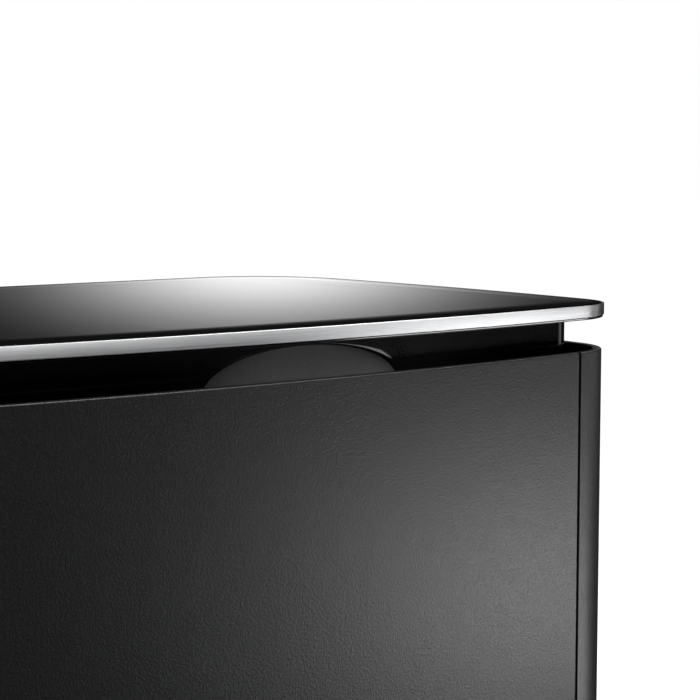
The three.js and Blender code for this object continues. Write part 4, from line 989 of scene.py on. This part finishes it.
class COMPACTOR_OT_collar(PieceOperator, bpy.types.Operator):
    """The recessed neck, its apron and the finger scoop"""

    bl_idname = "compactor.collar"
    bl_label = "Collar"

    patch_half = 84 * MM
    apron_half = 215.6 * MM
    ledge_start = 226 * MM

    def make(self, s):
        o = s.outline
        inset = o.neck_inset
        skin = self.wall_skin(inset)
        piece = bpy.data.objects.new("collar_work", skin)
        bpy.context.scene.collection.objects.link(piece)
        thick = piece.modifiers.new("Wall", "SOLIDIFY")
        thick.thickness = 3.2 * MM
        thick.offset = -1
        graph = bpy.context.evaluated_depsgraph_get()
        solid = bpy.data.meshes.new_from_object(piece.evaluated_get(graph))
        bpy.data.objects.remove(piece)
        whole = joined("neck_collar", solid, self.ledge(o, inset))
        # the bowl's faces take the scoop finish, whose grey is painted light over the black moulding
        finishes = [FINISHES["satin_black"], FINISHES["scoop"]]
        put("neck_collar", whole, finishes, "cabinet", "gloss_black", ["top_collar"])

    def wall_skin(self, inset):
        """The outer face of the neck, with the bowl grown out of its front."""
        plan = neck_plan()
        scoop = settings().scoop
        vertices, faces, marks = [], [], []
        lookup = {}

        def vertex(p):
            key = tuple(round(c, 7) for c in p)
            if key not in lookup:
                lookup[key] = len(vertices)
                vertices.append(key)
            return lookup[key]

        def quad(a, b, c, d, mark=0):
            ids = [vertex(p) for p in (a, b, c, d)]
            ids = [v for i, v in enumerate(ids) if v != ids[i - 1]]
            if len(ids) > 2:
                faces.append(ids)
                marks.append(mark)

        # the wall round the neck, apart from the scoop's patch in front
        low, high = CHANNEL_Z - CHANNEL_FLOOR, COLLAR_TOP
        ring = [(p - n * inset) for p, n in plan]
        half = self.patch_half
        xs = self.front_places()
        apron_half = self.apron_half
        front = [(x, front_y(x, inset)) for x in xs if abs(x) <= apron_half]
        rest = [p for p in ring if not (abs(p.x) <= apron_half and p.y < 0)]
        start = next(i for i, p in enumerate(rest) if p.x > 0 and p.y < 0)
        rest = rest[start:] + rest[:start]
        around = [front[-1]] + [tuple(p) for p in rest] + [front[0]]
        for a, b in zip(around, around[1:]):
            quad((*a, low), (*b, low), (*b, high), (*a, high))
        # the front with its apron
        for a, b in zip(front, front[1:]):
            if max(abs(a[0]), abs(b[0])) > half + 1e-6:
                quad((*a, low), (*b, low), (*b, high), (*a, high))
                quad((*a, COLLAR_BOTTOM), (*b, COLLAR_BOTTOM), (*b, low), (*a, low))
        self.scoop_patch(quad, inset, scoop, low, high)
        mesh = new_mesh("neck_skin", vertices, faces)
        for polygon, mark in zip(mesh.polygons, marks):
            polygon.material_index = mark
        return tidy(mesh)

    def front_places(self):
        half = self.patch_half
        inner = [half * i / 12 for i in range(-12, 13)]
        outer = [half + (self.apron_half - half) * i / 14 for i in range(1, 15)]
        return [-x for x in reversed(outer)] + inner + outer

    def scoop_patch(self, quad, inset, scoop, low, high):
        """Rings from the patch's edge in to the lip, round the lip and down the bowl."""
        half = self.patch_half
        centre = TOP - scoop.below_top
        sides = [(x, COLLAR_BOTTOM) for x in [half * i / 12 for i in range(-12, 13)]]
        heights = [COLLAR_BOTTOM, low] + [low + (high - low) * i / 12 for i in range(1, 13)]
        heights[1:1] = [COLLAR_BOTTOM + (low - COLLAR_BOTTOM) * i / 8 for i in range(1, 8)]
        edge = sides + [(half, z) for z in heights[1:]]
        edge += [(x, high) for x, _ in reversed(sides[:-1])]
        edge += [(-half, z) for z in reversed(heights[1:-1])]
        w, h, r = scoop.half_width, scoop.half_height, scoop.lip

        def on_front(x, z, deep=0.0):
            return (x, front_y(x, inset) + deep, z)

        def bowl(angle, share, deep):
            return on_front(w * share * math.cos(angle), centre + h * share * math.sin(angle), deep)

        angles = [math.atan2((z - centre) / h, x / w) for x, z in edge]
        rings = []
        for t in (0, 0.35, 0.65, 0.85, 1.0):
            ring = []
            for (x, z), a in zip(edge, angles):
                ex, ez = w * math.cos(a), centre + h * math.sin(a)
                ring.append(on_front(x + (ex - x) * t, z + (ez - z) * t))
            rings.append((ring, 0))
        # the lip turns from the front face into the bowl's wall
        lip_share = r / h
        for k in range(1, 6):
            t = math.pi / 2 * k / 5
            share = 1 - lip_share * math.sin(t) * 0.55
            rings.append(([bowl(a, share, r * (1 - math.cos(t))) for a in angles], 0))
        mouth = 1 - lip_share * 0.55
        steps = 18
        for k in range(1, steps + 1):
            t = math.pi / 2 * k / steps
            deep = r + (scoop.depth - r) * math.sin(t)
            share = mouth * math.cos(t) if k < steps else 0.0
            # the bowl's rings are marked for the scoop finish and its painted light
            rings.append(([bowl(a, share, deep) for a in angles], 1))
        n = len(edge)
        for (outer, _), (inner, mark) in zip(rings, rings[1:]):
            for i in range(n):
                j = (i + 1) % n
                quad(outer[i], outer[j], inner[j], inner[i], mark)

    def ledge(self, o, inset):
        """The floor of the channel round the neck, open where the door stands."""
        run = cut_at(right_half(), self.ledge_start, True)
        neck = cut_at(right_half(o.neck_corner + inset), self.ledge_start, True)
        outer = [(p - n * (o.shell_inset + o.rim + 1 * MM)) for p, n in run]
        inner = [(p - n * inset) for p, n in neck]
        places = len(outer)
        inner = resampled(inner, places)
        vertices, faces = [], []
        for side in (1, -1):
            base = len(vertices)
            for z in (CHANNEL_Z - CHANNEL_FLOOR, CHANNEL_Z):
                for a, b in zip(outer, inner):
                    vertices += [(side * a.x, a.y, z), (side * b.x, b.y, z)]
            n = places * 2
            for i in range(places - 1):
                q = base + 2 * i
                faces += [
                    (q, q + 2, q + 3, q + 1),
                    (q + n, q + n + 1, q + n + 3, q + n + 2),
                    (q, q + n, q + n + 2, q + 2),
                    (q + 1, q + 3, q + n + 3, q + n + 1),
                ]
            faces += [(base, base + 1, base + n + 1, base + n)]
        return tidy(new_mesh("channel_floor", vertices, faces))


def resampled(points, count):
    """A polyline divided into equal steps."""
    lengths = [0.0]
    for a, b in zip(points, points[1:]):
        lengths.append(lengths[-1] + (b - a).length)
    made, k = [], 0
    for i in range(count):
        want = lengths[-1] * i / (count - 1)
        while k < len(points) - 2 and lengths[k + 1] < want:
            k += 1
        t = (want - lengths[k]) / (lengths[k + 1] - lengths[k])
        made.append(points[k].lerp(points[k + 1], min(max(t, 0), 1)))
    return made


def wall_profile(inset, wall, rim, low, high, rim_height=10 * MM, radius=1.3 * MM):
    """A moulding's section: a thin wall with a thick rolled rim at its top."""
    return rounded(
        [
            (inset, low),
            (inset, high),
            (inset + rim, high),
            (inset + rim, high - rim_height),
            (inset + wall, high - rim_height - 3 * MM),
            (inset + wall, low),
        ],
        [0.8 * MM, radius, radius, 0.8 * MM, 1.5 * MM, 0.8 * MM],
    )


def moulding(name, mesh, body, replaced):
    """An outer moulding of the body, in grained plastic with eased edges."""
    plastic = FINISHES["grained_plastic"]
    options = {"bevel": 0.5 * MM, "bevel_angle": 60}
    return put(name, mesh, plastic, body, "grained_plastic", [replaced], **options)


class COMPACTOR_OT_shells(PieceOperator, bpy.types.Operator):
    """The side shells that wrap both corners, and the rear panel"""

    bl_idname = "compactor.shells"
    bl_label = "Side shells and rear panel"

    def make(self, s):
        o = s.outline
        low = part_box("side_shell_right")[0].z
        profile = wall_profile(o.shell_inset, o.wall, o.rim, low, RIM_TOP)
        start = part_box("door_panel")[1].x + 2 * MM
        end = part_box("rear_panel")[1].x + 2 * MM
        run = cut_at(cut_at(right_half(), start, True), end, False)
        lip_low, lip_high = low + 0.3 * MM, CHANNEL_Z - 3.4 * MM
        y = front_y(start, o.shell_inset)
        for side, sign in (("right", 1), ("left", -1)):
            wrap = run if sign > 0 else mirrored(run)[::-1]
            skin = sweep(f"side_shell_{side}_moulding", wrap, profile, False)
            x = sorted((sign * start, sign * (start + o.wall)))
            lip = box_mesh("lip", (x[0], y + 2 * MM, lip_low), (x[1], y + 14 * MM, lip_high))
            whole = joined("shell", skin, lip)
            moulding(f"shell_moulding_{side}", whole, "cabinet", f"side_shell_{side}")
        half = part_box("rear_panel")[1].x
        rear = cut_at(right_half(), half, False)
        keep = right_half()[len(rear) - 1 :]
        right = [rear[-1]] + keep
        run = right + mirrored(right[:-1])[::-1]
        mesh = sweep("rear_moulding", run, profile, False)
        moulding("rear_moulding", mesh, "cabinet", "rear_panel")


class COMPACTOR_OT_fronts(PieceOperator, bpy.types.Operator):
    """The tilting door's panel and the drawer's panel"""

    bl_idname = "compactor.fronts"
    bl_label = "Door and drawer fronts"

    def make(self, s):
        o = s.outline
        tree = bowed_front_tree()
        for name, body in (("door_panel", "door"), ("drawer_panel", "drawer")):
            low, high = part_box(name)
            profile = wall_profile(o.shell_inset, o.wall, o.rim, low.z, high.z)
            section = loop_mesh(f"{name}_section", [(-inset, -z) for inset, z in profile])
            sizes = {"Bow radius": o.front_bow, "Half width": high.x, "Front": FRONT_Y}
            values = {**sizes, "Steps": 61, "Material": FINISHES["grained_plastic"]}
            moulding(f"{body}_front_moulding", baked(tree, section, values), body, name)


class COMPACTOR_OT_fixings(PieceOperator, bpy.types.Operator):
    """The rear panel's screws and the pedal's ribbed tread"""

    bl_idname = "compactor.fixings"
    bl_label = "Screws and tread"

    def make(self, s):
        self.screws(s.outline, s.fixings)
        self.tread(s.fixings)

    def screws(self, o, f):
        """Two rows of screws that hold the rear panel, each on the panel's own slope."""
        low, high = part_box("rear_panel")
        across = high.x - f.screw_edge
        bottom, top = low.z + f.screw_edge, high.z - 2 * f.screw_edge
        spots, normals = [], []
        for x in (-across, across):
            slope = Vector((x / o.rear_bow, math.sqrt(1 - (x / o.rear_bow) ** 2), 0))
            spot = Vector((0, REAR_Y - o.rear_bow, 0)) + slope * (o.rear_bow - o.shell_inset)
            for i in range(f.screw_rows):
                z = bottom + (top - bottom) * i / (f.screw_rows - 1)
                spots.append((spot.x, spot.y - 0.1 * MM, z))
                normals.append(slope)
        sizes = {"Head radius": f.screw_radius, "Head height": f.screw_height}
        values = {**sizes, "Material": FINISHES["zinc_steel"]}
        mesh = baked(screws_tree(), standing_points(spots, normals), values)
        put("rear_panel_screws", mesh, FINISHES["zinc_steel"], "cabinet", "zinc_steel")

    def tread(self, f):
        """The ribbed mat on the pedal's pad."""
        low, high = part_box("pedal_tread")
        size = high - low
        sizes = {"Width": size.x, "Length": size.y, "Height": size.z, "Ribs": f.tread_ribs}
        values = {**sizes, "Base share": 0.5, "Material": FINISHES["rubber"]}
        mesh = baked(tread_tree(), new_mesh("tread_seed", [(0, 0, 0)], []), values)
        mesh.transform(Matrix.Translation(((low.x + high.x) / 2, (low.y + high.y) / 2, low.z)))
        eased = 0.6 * MM
        put("pedal_tread_mat", mesh, FINISHES["rubber"], "pedal", "rubber", ["pedal_tread"], eased)


def standing_points(spots, normals):
    """Loose points, each with the direction its copy stands in."""
    mesh = new_mesh("screw_places", spots, [])
    ways = mesh.attributes.new("stand", "FLOAT_VECTOR", "POINT")
    for i, normal in enumerate(normals):
        ways.data[i].vector = normal
    return mesh


class COMPACTOR_OT_carried(PieceOperator, bpy.types.Operator):
    """CAD pieces that keep their shape, with rounded edges and real finishes"""

    bl_idname = "compactor.carried"
    bl_label = "Carried-over pieces"

    def make(self, s):
        slots = {p["node"]: p["material_slot"] for p in frame["record"]["subparts"]}
        for name, piece in frame["nodes"].items():
            if piece.hide_render:
                continue
            finish_name = "brushed_pedal" if name == "pedal_lever" else slots[name]
            piece.data.materials.clear()
            piece.data.materials.append(FINISHES[finish_name])
            weld = piece.modifiers.new("Weld", "WELD")
            weld.merge_threshold = 0.00002
            flat = piece.modifiers.new("Flat faces", "DECIMATE")
            flat.decimate_type = "DISSOLVE"
            flat.angle_limit = math.radians(0.5)
            edges = piece.modifiers.new("Rounded edges", "BEVEL")
            edges.width = 0.45 * MM
            edges.segments = 2
            edges.limit_method = "ANGLE"
            edges.angle_limit = math.radians(40)


PIECES = (
    COMPACTOR_OT_stage,
    COMPACTOR_OT_lid,
    COMPACTOR_OT_collar,
    COMPACTOR_OT_shells,
    COMPACTOR_OT_fronts,
    COMPACTOR_OT_fixings,
    COMPACTOR_OT_carried,
)


class COMPACTOR_PT_panel(bpy.types.Panel):
    """Lists the operators and the sizes"""

    bl_label = "Trash Compactor"
    bl_idname = "COMPACTOR_PT_panel"
    bl_space_type = "VIEW_3D"
    bl_region_type = "UI"
    bl_category = "Compactor"

    def draw(self, context):
        for operator in PIECES:
            self.layout.operator(operator.bl_idname)
        for group in (settings().outline, settings().scoop, settings().finishes, settings().stage):
            box = self.layout.box()
            for key in group.__annotations__:
                box.prop(group, key)


CLASSES = (
    CompactorOutline,
    CompactorScoop,
    CompactorFixings,
    CompactorFinishes,
    CompactorStage,
    CompactorSettings,
    *PIECES,
    COMPACTOR_PT_panel,
)


def register():
    for cls in CLASSES:
        bpy.utils.register_class(cls)
    bpy.types.Scene.compactor = bpy.props.PointerProperty(type=CompactorSettings)


def unregister():
    del bpy.types.Scene.compactor
    for cls in reversed(CLASSES):
        bpy.utils.unregister_class(cls)


def main():
    register()
    for operator in PIECES:
        category, name = operator.bl_idname.split(".")
        getattr(getattr(bpy.ops, category), name)()


if __name__ == "__main__":
    main()
